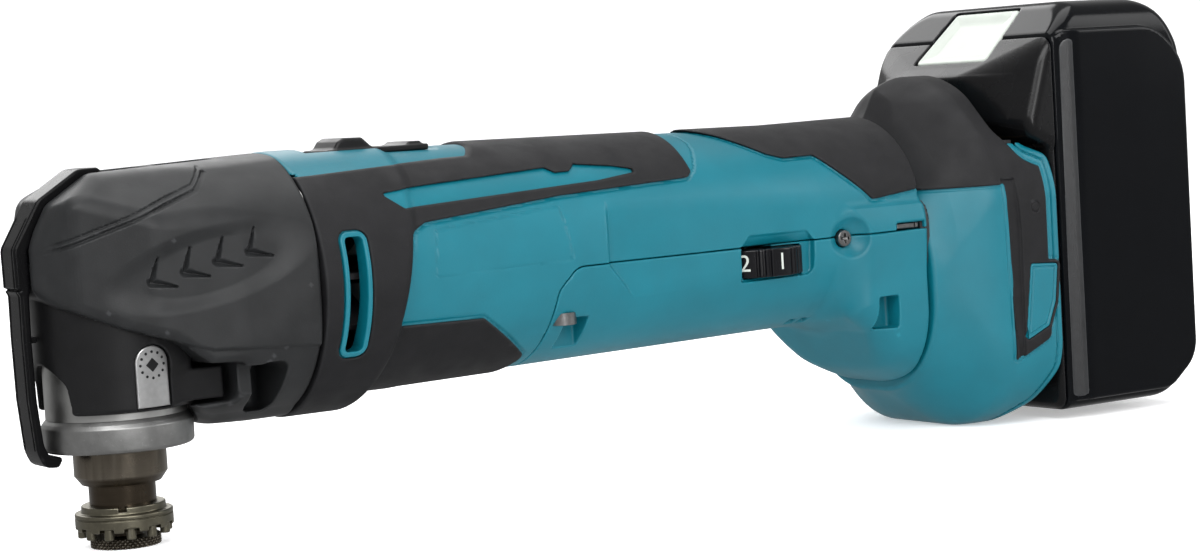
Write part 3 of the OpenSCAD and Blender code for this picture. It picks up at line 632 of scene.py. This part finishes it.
def lever(x, y, z):
    """The lock lever, with the hub around its pin and the lobe that works the clamp shaft."""
    to_pin = np.hypot(x - PIVOT[0], z - PIVOT[1])
    lobe = np.hypot(x - LOBE[0], z - LOBE[1]) - 4
    form = either(outline(x, z, LEVER), np.minimum(to_pin - 6, lobe), 0.8)
    front = (x < -19.5) & (z > 20.5)
    cut = groove(np.abs(y) - LEVER_HALF + 1.5, 0.7, 0.4) * front + groove(z - 57.4, 0.9, 0.8) * (x < -22)
    d = both(form + cut, np.abs(y) - LEVER_HALF, 0.6)
    d = either(d, box_field(x, y, z, (-21.6, -2, 45), (-18.7, 2, 46.4), 0.3), 0.4)
    return less(d, to_pin - 2.05)


# ---------------------------------------------------------------- battery
SPLIT = 264.4  # joint between case and cover
CASE_SIDE = arcs([(262.7, -2.5, 3), (302, -2.5, 9), (PACK_BACK, 8, 9), (PACK_BACK, 97, 13),
                  (304.5, PACK_TOP, 12), (275.6, PACK_TOP, 4), (256, 94.5, 3), (252.7, 91.8, 2),
                  (252.7, 79.2, 2), (256.4, 74.4, 3), (262.7, 71.4, 2)])
PANEL = arcs([(264.9, 1.0, 2), (302, 1.0, 8), (PACK_BACK - 1.2, 9.0, 10), (PACK_BACK - 1.2, 94, 16),
              (301, 103, 14), (264.9, 103, 4)])
PROUD = 2.2  # the side panels stand this proud of the case
PANEL_IN = 28  # and reach in to this distance from the middle


def pack(x, y, z):
    """The whole battery, before it is split into case and cover."""
    side_y = np.abs(y)
    section = both(both(side_y - (PACK_HALF - PROUD), z - PACK_TOP, 11), PACK_BOTTOM - z, 5)
    d = both(outline(x, z, CASE_SIDE), section, 3)
    # in front it narrows to the shape of the housing's chamfered top
    spread = 3.0 * (x - 252.4)
    return both(d, (side_y + z - 105.8 - spread) / math.sqrt(11), 2.5)


SLOPE = np.array([0.753, 0.658])  # along the battery's sloping front
BUTTON_MID = (265.6, 102.8)


def button_zone(x, y, z, grow=0.0):
    """The button's outline, seen square to the slope."""
    along = (x - BUTTON_MID[0]) * SLOPE[0] + (z - BUTTON_MID[1]) * SLOPE[1]
    half = 14.2 - 0.08 * along
    du, dv = np.abs(y) - half - grow, np.abs(along) - 10.4 - grow
    return rounded(du, dv, 1.5)


def battery_hollow(x, y, z, skin):
    """Space inside the battery for cells and terminals, clear of the button's well."""
    well = np.maximum(button_zone(x, y, z, 2.2), -(skin + 7.6))
    return np.maximum(np.maximum(skin + 2.2, -well), x - PACK_BACK + 4.2)


def button_well(x, y, z, skin):
    return np.maximum(button_zone(x, y, z, 0.4), -(skin + 5.9))


def battery_case(x, y, z):
    side_y = np.abs(y)
    skin = pack(x, y, z)
    bevel = (side_y - PACK_HALF + 2.4 - 0.48 * (x - 265.8)) / math.hypot(1, 0.48)
    # a flat panel stands proud of each side, with a broad bevel along its front edge
    panel = both(both(side_y - PACK_HALF, outline(x, z, PANEL), 0.9), bevel, 0.8)
    panel = np.maximum(panel, PANEL_IN - side_y)
    d = both(either(skin, panel, 0.3), SPLIT + 0.15 - x, 0.8)
    for i in range(3):
        slot_z = 30 + 9 * i
        slot = box_field(x, y, z, (PACK_BACK - 1.0, -22, slot_z), (PACK_BACK + 9, 22, slot_z + 3), 0.4)
        d = less(d, slot, 0.4)
    d = less(d, np.maximum(battery_hollow(x, y, z, skin), SPLIT + 2.6 - x))
    return less(d, button_well(x, y, z, skin), 0.4)


def battery_cover(x, y, z):
    skin = pack(x, y, z)
    d = both(skin, x - SPLIT + 0.15, 0.7)
    rails = box_field(x, y, z, (252.6, -27.9, 8), (264, 27.9, 92), 0.5)
    d = either(d, both(rails, skin, 0.3), 0.3)
    inside = both(box_field(x, y, z, (254.8, -24, 53.5), (270, 24, 91), 0.5), skin + 1.5)
    d = less(d, np.maximum(inside, -np.maximum(button_zone(x, y, z, 2.0), -(skin + 1.2))))
    d = less(d, button_well(x, y, z, skin), 0.4)
    d = less(d, box_field(x, np.abs(y), z, (255, 25, 7), (258, 40, 70), 0.2))
    d = less(d, box_field(x, y, z, (250, -5.4, 78.6), (256, 5.4, 85.4), 0.3), 0.2)
    return less(d, box_field(x, y, z, (250, -14, 0), (261, 14, 52), 0.5))


def battery_button(x, y, z):
    skin = pack(x, y, z)
    zone = button_zone(x, y, z)
    dip = 0.9 * smooth(-zone, 0.8, 5.0)
    d = both(zone, np.maximum(skin + 0.25 + dip, -(skin + 2.8)), 0.7)
    stem = outline(x, z, [(256.2, 80.5), (262, 80.5), (262, 97.8), (258.6, 94.6), (256.2, 91.5)])
    stem = both(both(stem, np.abs(y) - 8, 0.3), skin + 1.2)
    tongue = box_field(x, y, z, (249.8, -5, 82), (257, 5, 85), 0.4)
    return either(d, either(tongue, stem, 0.3), 0.3)


# ---------------------------------------------------------------- switch
def switch_slide(x, y, z):
    top = 84.1
    plate = box_field(x, y, z, (56, -6.6, top - 1.6), (84, 6.6, top - 0.1), 0.5)
    knob = arcs([(57.4, top - 1), (59.4, top + 1.8, 1.0), (61, top + 2.6, 0.6), (66, top + 2.5, 1.2),
                 (69.2, top - 0.4, 2), (69.2, top - 1)])
    bump = arcs([(76.8, top - 1), (79, top + 0.7, 0.8), (82, top + 0.7, 0.8), (83.6, top - 1)])
    d = either(plate, both(outline(x, z, knob), np.abs(y) - 6.0, 0.8), 0.6)
    d = either(d, both(outline(x, z, bump), np.abs(y) - 6.0, 0.6), 0.5)
    ribs = np.maximum(np.abs((x - 61) % 1.5 - 0.75) - 0.28, np.maximum(-(z - (top + 2.05)), np.abs(y) - 4.6))
    d = less(d, np.maximum(ribs, np.abs(x - 63.6) - 2.6), 0.1)
    slats = np.abs((x - 70.5) % 1.3 - 0.65) - 0.25
    slats = np.maximum(slats, np.maximum(np.abs(x - 73.3) - 2.6, np.abs(y) - 5.0))
    d = less(d, np.maximum(slats, top - 0.45 - z), 0.05)
    return either(d, box_field(x, y, z, (66, -3, 80.5), (72, 3, 84), 0.2))


def seam_clip(x, y, z):
    d = box_field(x, np.abs(y), z, (213.2, 25.5, 52.6), (220.6, 27.3, 54.0), 0.3)
    return less(d, box_field(x, np.abs(y), z, (219.0, 26.9, 52.0), (219.6, 40, 56), 0.1))


# what each moulded piece is: its name, field, CAD node, slot and cell size
MOULDED = [
    ("motor_housing_shell", front_shell, "front_housing", "teal_plastic", 0.6),
    ("handle_shell", lower_shell, "lower_housing", "teal_plastic", 0.5),
    ("battery_housing_shell", rear_shell, "rear_housing", "teal_plastic", 0.5),
    ("front_grip_skin", front_grip, "front_grip", "black_rubber", 0.5),
    ("handle_grip_skin", handle_grip, "handle_grip", "black_rubber", 0.5),
    ("rear_grip_skin", rear_grip, "rear_grip", "black_rubber", 0.5),
    ("vent_rims", vent_frame, "vent_frames", "teal_plastic", 0.35),
    ("badge_plates", rear_badge, "rear_badges", "teal_plastic", 0.3),
    ("seam_clip_pair", seam_clip, "seam_clips", "screw_steel", 0.2),
    ("head_cover_shell", head_cover, "head_housing", "black_plastic", 0.42),
    ("neck_shell", neck_shell, "neck_cover", "black_plastic", 0.35),
    ("badge_foils", interface_badge, "interface_badges", "badge_metal", 0.16),
    ("lever_moulding", lever, "lock_lever", "black_plastic", 0.3),
    ("switch_knob", switch_slide, "switch_slide", "black_plastic", 0.25),
    ("case_moulding", battery_case, "battery_case", "gloss_black", 0.62),
    ("cover_moulding", battery_cover, "battery_cover", "gloss_black", 0.5),
    ("button_moulding", battery_button, "battery_button", "white_plastic", 0.35),
]


def body_of_node(node):
    bodies = frame["record"]["behaviour"]["bodies"]
    return next(b for b, nodes in bodies.items() if node in nodes)


def place(piece, node, slot):
    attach(piece, body_of_node(node))
    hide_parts(node)
    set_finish(piece, slot)


# how far each field is looked at beyond its node's box, all round and at the top
WIDER = {"front_housing": 3.0, "front_grip": 3.0, "head_housing": 3.0, "lower_housing": 3.0,
         "battery_cover": 3.0, "battery_button": 2.0, "vent_frames": 4.5, "rear_badges": 2.5,
         "handle_grip": 2.5}
REACH = {"neck_cover": (0, 0, 11.5)}


for name, field, node, slot, cell in MOULDED:
    low, high = node_box(node)
    margin = WIDER.get(node, 1.2)
    extra = np.array(REACH.get(node, (0.0, 0.0, 0.0)))
    place(moulded(name, field, low - margin, high + margin + extra, cell), node, slot)


# ---------------------------------------------------------------- turned and small parts
def mesh_of(bm, name):
    """A mesh with the bmesh's contents, which is freed."""
    mesh = bpy.data.meshes.new(name)
    bm.to_mesh(mesh)
    bm.free()
    return mesh


def lathe(name, profile, steps=160):
    """A closed ring turned about the spindle's axis from (radius, z) points."""
    bm = bmesh.new()
    rows = []
    for k in range(steps):
        a = 2 * math.pi * k / steps
        rows.append([bm.verts.new((r * math.cos(a) * MM, r * math.sin(a) * MM, z * MM)) for r, z in profile])
    for row, following in zip(rows, rows[1:] + rows[:1]):
        for i in range(len(profile)):
            j = (i + 1) % len(profile)
            bm.faces.new((row[i], following[i], following[j], row[j]))
    bmesh.ops.recalc_face_normals(bm, faces=bm.faces)
    mesh = mesh_of(bm, name)
    for p in mesh.polygons:
        p.use_smooth = True
    mesh.set_sharp_from_angle(angle=math.radians(32))
    return new_object(name, mesh)


def turned_diamond(x, y, z, n, pitch, depth):
    """How far a diamond knurl cuts into a turned face."""
    angle = np.arctan2(y, x) * n / (2 * math.pi)
    a, b = angle + z / pitch, angle - z / pitch
    cut = np.minimum(np.abs(a - np.round(a)), np.abs(b - np.round(b)))
    return depth * np.clip(1 - cut / 0.3, 0, 1)


def clamp_shaft(x, y, z):
    ring = np.hypot(x, y)
    head = both(ring - 8.2 + turned_diamond(x, y, z, 44, 1.2, 0.4), np.abs(z + 3.1) - 1.2, 0.3)
    head = less(head, np.maximum(np.abs(ring - 5.6) - 0.25, z + 4.0), 0.1)
    head = less(head, both(ring - 2.4, z + 3.4, 0.3), 0.2)
    shaft = both(both(ring - 4.05, z - 58), -2.5 - z)
    collar = both(ring - 5.9, np.abs(z - 59) - 1.0, 0.2)
    tip = both(ring - 3.5, np.maximum(z - 67.2, 58 - z), 0.6)
    return either(either(head, shaft, 0.3), either(collar, tip, 0.3))


def tool_holder(x, y, z):
    ring = np.hypot(x, y)
    d = both(ring - 11.35, np.abs(z - 2) - 2, 0.4)
    upper = both(ring - 9.75, np.abs(z - 4.4) - 1.3, 0.35)
    notch = np.arctan2(y, x) + 2.0
    upper = less(upper, np.maximum(np.abs(ring * np.sin(notch)) - 0.9, 4.6 - z), 0.15)
    d = either(d, upper, 0.3)
    d = less(d, np.maximum(np.abs(z - 2.9) - 0.16, 11.15 - ring), 0.05)
    turn = np.radians(30)
    local = np.arctan2(y, x) - turn / 2
    local = local - turn * np.round(local / turn)
    px, py = ring * np.cos(local) - 9.8, ring * np.sin(local)
    d = less(d, both(np.hypot(px - 0.9, py) - 1.75, z - 0.9, 0.3), 0.25)
    d = either(d, both(np.hypot(px, py) - 1.15, np.abs(z + 0.2) - 1.5, 0.35), 0.1)
    return both(d, 6.0 - ring, 0.2)


DIAL_MID, DIAL_R = (174.0, -15.2, 47.35), 13
FIGURES = 6  # the numbers on the dial


def figure_angle(k):
    """Where a number sits round the dial, each a fifth of the whole travel from the next."""
    return math.radians(-90 - 45 * k)


def dial(x, y, z):
    dx, dy = x - DIAL_MID[0], y - DIAL_MID[1]
    ring, angle = np.hypot(dx, dy), np.arctan2(dy, dx)
    wave = np.abs((angle * 48 / (2 * math.pi)) % 1 - 0.5) * 2
    ridges = 0.55 * smooth(wave, 0.35, 0.75)
    # a flat window for each number
    for k in range(FIGURES):
        at = figure_angle(k)
        off = np.abs(np.arctan2(np.sin(angle - at), np.cos(angle - at)))
        ridges = ridges * smooth(off * DIAL_R, 2.6, 3.1)
    d = both(ring - DIAL_R + ridges, np.abs(z - DIAL_MID[2]) - 3.65, 0.5)
    return both(d, 3.1 - ring, 0.1)


def side_screw(x, y, z):
    dx, dz = x - SCREW_X, z - SEAM_Z
    ring = np.hypot(dx, dz)
    d = both(ring - 2.2, np.abs(y + 21.1) - 4.5, 0.4)
    return less(d, np.maximum(cross(dx, dz, 0.36, 1.35), y + 24.4 + ring * 0.4), 0.08)


def head_screw(x, y, z):
    """Four cross-head screws that join the head to the motor housing."""
    dy, dz = np.abs(y) - 20.5, np.abs(z - AXIS_Z) - 17.5
    ring = np.hypot(dy, dz)
    d = either(both(ring - 3.1, np.abs(x - 34.2) - 1.4, 0.6), both(ring - 2, np.abs(x - 40) - 6, 0.2), 0.2)
    return less(d, np.maximum(cross(dy, dz, 0.5, 1.9), x - 34.6), 0.1)


def joint_collar(x, y, z):
    """The dark collar in the gap between the grip and the battery housing."""
    inner = np.minimum(body(np.minimum(x, BODY_BACK - 1.0), y, z), 0)
    return np.maximum(np.maximum(inner + 1.6, -(inner + 4.0)), np.abs(x - 223.0) - 1.6)


for name, field, node, slot, cell, grow in [
        ("head_screw_set", head_screw, "head_screws", "screw_steel", 0.3, 0.4),
        ("knurled_clamp", clamp_shaft, "clamp_shaft", "hardened_steel", 0.19, 0.4),
        ("flange_with_pins", tool_holder, "tool_holder", "nickel_steel", 0.19, 0.4),
        ("ridged_dial", dial, "speed_dial", "black_plastic", 0.2, 0.5),
        ("cross_screw", side_screw, "side_screw", "screw_steel", 0.12, 0.3)]:
    low, high = node_box(node)
    place(moulded(name, field, low - grow, high + grow, cell), node, slot)

RETAINER = arcs([(11.2, 19.0, 0.3), (17.5, 19.0, 1.0), (17.6, 24.7, 0.8), (17.0, 25.6, 0.5),
                 (16.2, 26.5, 0.3), (14, 26.5), (14, 21.2), (11.2, 21.2, 0.2)])
place(lathe("retainer_ring", RETAINER), "bearing_retainer", "cast_aluminium")


def loose(name, field, low, high, cell, body_name, slot_name):
    """A small trim piece that stands for no node of its own."""
    made = moulded(name, field, np.array(low), np.array(high), cell)
    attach(made, body_name)
    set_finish(made, slot_name)


def edge_strip(x, y, z):
    """The satin strips along the front edges of the battery's side panels."""
    strip = arcs([(265.9, 2.2, 1.5), (270.3, 2.2, 1.5), (270.3, 101.4, 2.0), (266.6, 99.5, 3.0)])
    zone = outline(x, z, strip)
    return np.maximum(patch(battery_case(x, y, z), zone, 0.14, 0.8, 0.12), PANEL_IN - np.abs(y))


loose("case_edge_strips", edge_strip, (264.5, -38.4, 1), (271.5, 38.4, 103), 0.4, "battery", "black_plastic")
loose("joint_collar", joint_collar, (221, -28, 6), (225, 28, 84), 0.5, "tool_body", "inner_plastic")
loose("badge_marks", badge_mark, (-2.4, -18.6, 34.6), (6.4, 18.6, 42.8), 0.13, "tool_body", "black_plastic")


def numbers():
    """The dial's printed numbers, wrapped round it; turning it brings the next one to the window."""
    bm = bmesh.new()
    for k in range(FIGURES):
        curve = bpy.data.curves.new("figure", "FONT")
        curve.body = str(k + 1)
        curve.size, curve.align_x, curve.align_y = 6.2, "CENTER", "CENTER"
        carrier = bpy.data.objects.new("figure", curve)
        figure = bpy.data.meshes.new_from_object(carrier)
        part = bmesh.new()
        part.from_mesh(figure)
        long_edges = [e for e in part.edges if e.calc_length() > 0.6]
        bmesh.ops.subdivide_edges(part, edges=long_edges, cuts=3, use_grid_fill=True)
        bmesh.ops.solidify(part, geom=part.faces[:], thickness=0.25)
        for v in part.verts:
            a = figure_angle(k) + v.co.x / DIAL_R
            r = 12.95 + (0.11 if abs(v.co.z) > 0.1 else -0.1)
            spot = (r * math.cos(a), r * math.sin(a), v.co.y)
            v.co = Vector([m + p for m, p in zip(DIAL_MID, spot)]) * MM
        bmesh.ops.recalc_face_normals(part, faces=part.faces)
        part.to_mesh(figure)
        part.free()
        bm.from_mesh(figure)
        bpy.data.objects.remove(carrier)
    obj = new_object("dial_numbers", mesh_of(bm, "dial_numbers"))
    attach(obj, "dial")
    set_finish(obj, "white_plastic")


numbers()


# ---------------------------------------------------------------- materials
def tone(r, g, b):
    """A colour from its screen values, as the shader wants it."""
    return tuple(((c / 255 + 0.055) / 1.055) ** 2.4 if c > 10 else c / 255 / 12.92 for c in (r, g, b)) + (1.0,)


def scaled(colour, k):
    return tuple(min(1, c * k) for c in colour[:3]) + (1.0,)


LATHE = (0.02, 0.02, 2.6)  # stretches noise to fine rings around a vertical axis
FINISH = {}


def finish(name, colour, rough, metal=0.0, mottle=(6.0, 0.08), grain=(0.35, 0.02), streak=None, worn=0.0,
           worn_tone=None, specular=0.5, dust=0.0, pebble=False):
    """A node material: mottled colour, uneven gloss, fine grain, rubbed edges and turned streaks.

    mottle is a size in mm and a strength, grain a size and a height in mm."""
    made = bpy.data.materials.new(name)
    made.use_nodes = True
    FINISH[name] = made
    tree = made.node_tree
    shader = tree.nodes["Principled BSDF"]

    def node(kind, **settings):
        n = tree.nodes.new(kind)
        for key, value in settings.items():
            if key[0].isupper():
                n.inputs[key.replace("_", " ")].default_value = value
            else:
                setattr(n, key, value)
        return n

    def link(a, b):
        tree.links.new(a, b)

    def ramp(source, a, b, c, d):
        m = node("ShaderNodeMapRange")
        link(source, m.inputs["Value"])
        for key, value in zip(("From Min", "From Max", "To Min", "To Max"), (a, b, c, d)):
            m.inputs[key].default_value = value
        return m.outputs["Result"]

    def mix(factor, a, b):
        m = node("ShaderNodeMix", data_type="RGBA")
        link(factor, m.inputs["Factor"])
        for value, socket in ((a, m.inputs[6]), (b, m.inputs[7])):
            if isinstance(value, tuple):
                socket.default_value = value
            else:
                link(value, socket)
        return m.outputs[2]

    where = node("ShaderNodeTexCoord").outputs["Object"]

    def pattern(size, kind="ShaderNodeTexNoise", **settings):
        n = node(kind, Scale=1000 / size, **settings)
        link(where, n.inputs["Vector"])
        return n

    cloud = pattern(mottle[0], Detail=5.0, Roughness=0.55)
    darker, lighter = scaled(colour, 1 - mottle[1]), scaled(colour, 1 + mottle[1])
    body_tone = mix(ramp(cloud.outputs["Fac"], 0.32, 0.68, 0, 1), darker, lighter)
    if streak:
        stretch = node("ShaderNodeMapping")
        stretch.inputs["Scale"].default_value = LATHE
        link(where, stretch.inputs["Vector"])
        lines = node("ShaderNodeTexNoise", Scale=1000.0, Detail=3.0)
        link(stretch.outputs["Vector"], lines.inputs["Vector"])
        body_tone = mix(ramp(lines.outputs["Fac"], 0.35, 0.65, 0, 1), body_tone, streak)
    if worn:
        shape = node("ShaderNodeNewGeometry")
        edge = ramp(shape.outputs["Pointiness"], 0.52, 0.60, 0, worn)
        body_tone = mix(edge, body_tone, worn_tone or scaled(colour, 1.8))
    if dust:
        specks = pattern(0.9, Detail=2.0)
        body_tone = mix(ramp(specks.outputs["Fac"], 0.66, 0.74, 0, dust), body_tone, scaled(colour, 2.2))
    link(body_tone, shader.inputs["Base Color"])
    patchy = pattern(mottle[0] * 1.7, Detail=4.0)
    gloss = ramp(patchy.outputs["Fac"], 0.3, 0.7, max(0.02, rough * 0.86), min(1, rough * 1.14))
    link(gloss, shader.inputs["Roughness"])
    if grain:
        if streak:
            height = lines.outputs["Fac"]
        elif pebble:
            height = pattern(grain[0], "ShaderNodeTexVoronoi", feature="SMOOTH_F1").outputs["Distance"]
        else:
            height = pattern(grain[0], Detail=3.0).outputs["Fac"]
        bump = node("ShaderNodeBump", Strength=1.0, Distance=grain[1] * MM)
        link(height, bump.inputs["Height"])
        link(bump.outputs["Normal"], shader.inputs["Normal"])
    shader.inputs["Metallic"].default_value = metal
    shader.inputs["Specular IOR Level"].default_value = specular
    return made


TEAL = tone(0, 92, 106)
finish("teal_plastic", TEAL, 0.42, mottle=(14, 0.06), grain=(0.42, 0.012), pebble=True, worn=0.3,
       worn_tone=tone(30, 128, 144), specular=0.35)
finish("black_rubber", tone(20, 20, 22), 0.62, mottle=(5, 0.14), grain=(0.3, 0.03), worn=0.3, dust=0.25,
       worn_tone=tone(54, 55, 57), specular=0.25)
finish("black_plastic", tone(16, 16, 17), 0.4, mottle=(6, 0.1), grain=(0.4, 0.014), worn=0.3,
       worn_tone=tone(52, 52, 52), specular=0.25)
finish("gloss_black", tone(5, 6, 8), 0.15, mottle=(9, 0.08), grain=(1.6, 0.003), specular=0.14, worn=0.2,
       worn_tone=tone(40, 42, 45))
finish("white_plastic", tone(172, 178, 171), 0.36, mottle=(8, 0.03), grain=(0.5, 0.008))
finish("cast_aluminium", tone(146, 146, 145), 0.44, 1.0, mottle=(3, 0.1), grain=(0.32, 0.03), worn=0.3,
       worn_tone=tone(225, 225, 222), dust=0.15)
finish("badge_metal", tone(178, 178, 178), 0.34, 0.9, mottle=(1.2, 0.06), grain=(0.15, 0.008))
finish("hardened_steel", tone(78, 72, 62), 0.34, 1.0, mottle=(2.5, 0.16), grain=(0.2, 0.012),
       streak=tone(66, 60, 52), worn=0.4, worn_tone=tone(170, 164, 152))
finish("nickel_steel", tone(112, 108, 94), 0.36, 1.0, mottle=(1.6, 0.12), grain=(0.18, 0.02), worn=0.4,
       worn_tone=tone(178, 174, 158), dust=0.2)
finish("bright_steel", tone(190, 190, 188), 0.2, 1.0, mottle=(3, 0.06), grain=(0.2, 0.006))
finish("screw_steel", tone(120, 120, 120), 0.4, 1.0, mottle=(1.0, 0.16), grain=(0.15, 0.02), worn=0.3)
finish("forged_steel", tone(120, 118, 114), 0.45, 1.0, mottle=(3, 0.12), grain=(0.4, 0.03))
finish("motor_steel", tone(150, 150, 148), 0.34, 1.0, mottle=(4, 0.1), grain=(0.3, 0.015))
finish("magnet", tone(60, 58, 58), 0.5, 0.4, mottle=(2, 0.12), grain=(0.3, 0.03))
finish("copper", tone(196, 118, 72), 0.3, 1.0, mottle=(1.2, 0.14), grain=(0.3, 0.03))
finish("contact_brass", tone(206, 168, 92), 0.28, 1.0, mottle=(2, 0.1), grain=(0.2, 0.01))
finish("carbon", tone(38, 38, 40), 0.55, 0.2, mottle=(1, 0.2), grain=(0.2, 0.03))
finish("inner_plastic", tone(34, 34, 36), 0.5, mottle=(5, 0.1), grain=(0.4, 0.02))
finish("circuit_board", tone(22, 88, 50), 0.35, mottle=(2, 0.15), grain=(0.8, 0.03))
finish("wire", tone(150, 24, 24), 0.4, mottle=(3, 0.1), grain=(0.5, 0.01))
finish("cell_wrap", tone(52, 112, 168), 0.3, mottle=(8, 0.08), grain=(1.0, 0.01))
# pieces and nodes with a finish of their own
OWN = {
    "head_cover_shell": finish("head_plastic", tone(28, 29, 30), 0.48, mottle=(7, 0.16),
                               grain=(0.34, 0.022), worn=0.3, dust=0.15, worn_tone=tone(70, 71, 73),
                               specular=0.28),
    "neck_shell": finish("neck_plastic", tone(15, 15, 16), 0.44, mottle=(5, 0.12), grain=(0.3, 0.02),
                         worn=0.25, worn_tone=tone(48, 48, 50), specular=0.22),
    "lever_moulding": finish("lever_plastic", tone(5, 5, 6), 0.28, mottle=(6, 0.12), grain=(0.5, 0.01),
                             worn=0.3, worn_tone=tone(38, 38, 40), specular=0.13),
    "cover_moulding": finish("cover_plastic", tone(12, 12, 13), 0.26, mottle=(6, 0.1), grain=(0.4, 0.012),
                             worn=0.25, worn_tone=tone(40, 40, 42), specular=0.22),
    "case_edge_strips": finish("satin_strip", tone(24, 25, 27), 0.36, mottle=(2.0, 0.3), grain=(0.5, 0.05),
                               worn=0.3, worn_tone=tone(90, 92, 95), specular=0.6),
    "ridged_dial": finish("dial_plastic", tone(8, 8, 11), 0.22, mottle=(4, 0.1), grain=(0.5, 0.006),
                          worn=0.3, worn_tone=tone(40, 40, 46), specular=0.3),
    "spindle": finish("turned_spindle", tone(74, 66, 56), 0.26, 1.0, mottle=(3, 0.14), grain=(0.2, 0.01),
                      streak=tone(70, 62, 52), worn=0.4, worn_tone=tone(180, 172, 158)),
}


def dress(obj, made):
    if not obj.material_slots:
        obj.data.materials.append(made)
    for s in obj.material_slots:
        s.material = made


SLOT_OF = {row["node"]: row["material_slot"] for row in frame["record"]["subparts"]}
for node, slot in SLOT_OF.items():
    dress(bpy.data.objects[node], OWN.get(node, FINISH[slot]))
for name, piece in PIECES.items():
    dress(piece, OWN.get(name, FINISH[piece["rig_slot"]]))


# ---------------------------------------------------------------- stage, light and camera
FLOOR_Z = cad_box[0][2]
STAGE_R, SWEEP_R = 2.6, 1.4
STAGE_X, STAGE_STEPS = 0.13, 96
rows = [(STAGE_R + SWEEP_R * math.sin(a), SWEEP_R * (1 - math.cos(a))) for a in np.linspace(0, math.pi / 2, 13)]
rows.append((STAGE_R + SWEEP_R, 2.6))
turns = [2 * math.pi * k / STAGE_STEPS for k in range(STAGE_STEPS)]
sweep = bmesh.new()
rings = [[sweep.verts.new((STAGE_X + r * math.cos(a), r * math.sin(a), FLOOR_Z + h)) for a in turns]
         for r, h in rows]
sweep.faces.new(rings[0])
for inner, outer in zip(rings, rings[1:]):
    for k in range(STAGE_STEPS):
        sweep.faces.new((inner[k], inner[k - 1], outer[k - 1], outer[k]))
bmesh.ops.recalc_face_normals(sweep, faces=sweep.faces)
stage_mesh = mesh_of(sweep, "floor")
for p in stage_mesh.polygons[1:]:
    p.use_smooth = True
floor = bpy.data.objects.new("floor", stage_mesh)
bpy.context.scene.collection.objects.link(floor)
pale = finish("pale_floor", tone(243, 243, 244), 0.8, mottle=(120, 0.01), grain=None, specular=0.1)
glow = pale.node_tree.nodes["Principled BSDF"].inputs
glow["Emission Color"].default_value = (1, 1, 1, 1)
glow["Emission Strength"].default_value = 0.4
dress(floor, pale)
floor.visible_glossy = False

scene = bpy.context.scene
world = bpy.data.worlds.new("studio")
world.use_nodes = True
sky = world.node_tree.nodes["Background"].inputs
sky["Color"].default_value = (1, 1, 1, 1)
sky["Strength"].default_value = 0.42
scene.world = world
scene.view_settings.view_transform = "Standard"
scene.view_settings.look = "None"

CENTRE = Vector((0.136, 0.0, 0.0465))  # the lights and the camera look at this point


def softbox(name, place_at, size, power):
    light = bpy.data.lights.new(name, "AREA")
    light.shape, light.size, light.size_y, light.energy = "RECTANGLE", size[0], size[1], power
    obj = bpy.data.objects.new(name, light)
    scene.collection.objects.link(obj)
    obj.location = place_at
    obj.rotation_euler = (CENTRE - Vector(place_at)).to_track_quat("-Z", "Y").to_euler()


softbox("key", (-0.75, -1.15, 1.35), (1.1, 0.9), 24)
softbox("top", (0.25, 0.25, 1.7), (1.6, 1.1), 19)
softbox("side", (1.5, -0.9, 0.7), (0.5, 1.2), 7)
softbox("back", (0.4, 1.5, 1.0), (1.2, 0.9), 12)
softbox("strip", (-0.06, -0.98, 0.34), (0.2, 0.6), 3.5)

AZIMUTH, ELEVATION, ROLL = math.radians(-33), math.radians(4), math.radians(3.5)
DISTANCE = 0.700
level = math.cos(ELEVATION)
forward = Vector((-math.sin(AZIMUTH) * level, math.cos(AZIMUTH) * level, -math.sin(ELEVATION)))
right = Vector((math.cos(AZIMUTH), math.sin(AZIMUTH), 0))
up = right.cross(forward)
turned = Matrix((right, up, -forward)).transposed().to_4x4() @ Matrix.Rotation(-ROLL, 4, "Z")
lens = bpy.data.cameras.new("camera")
lens.lens, lens.sensor_width, lens.clip_start, lens.clip_end = 81.0, 36.0, 0.01, 50.0
camera = bpy.data.objects.new("camera", lens)
scene.collection.objects.link(camera)
camera.matrix_world = Matrix.Translation(CENTRE - forward * DISTANCE) @ turned
scene.camera = camera
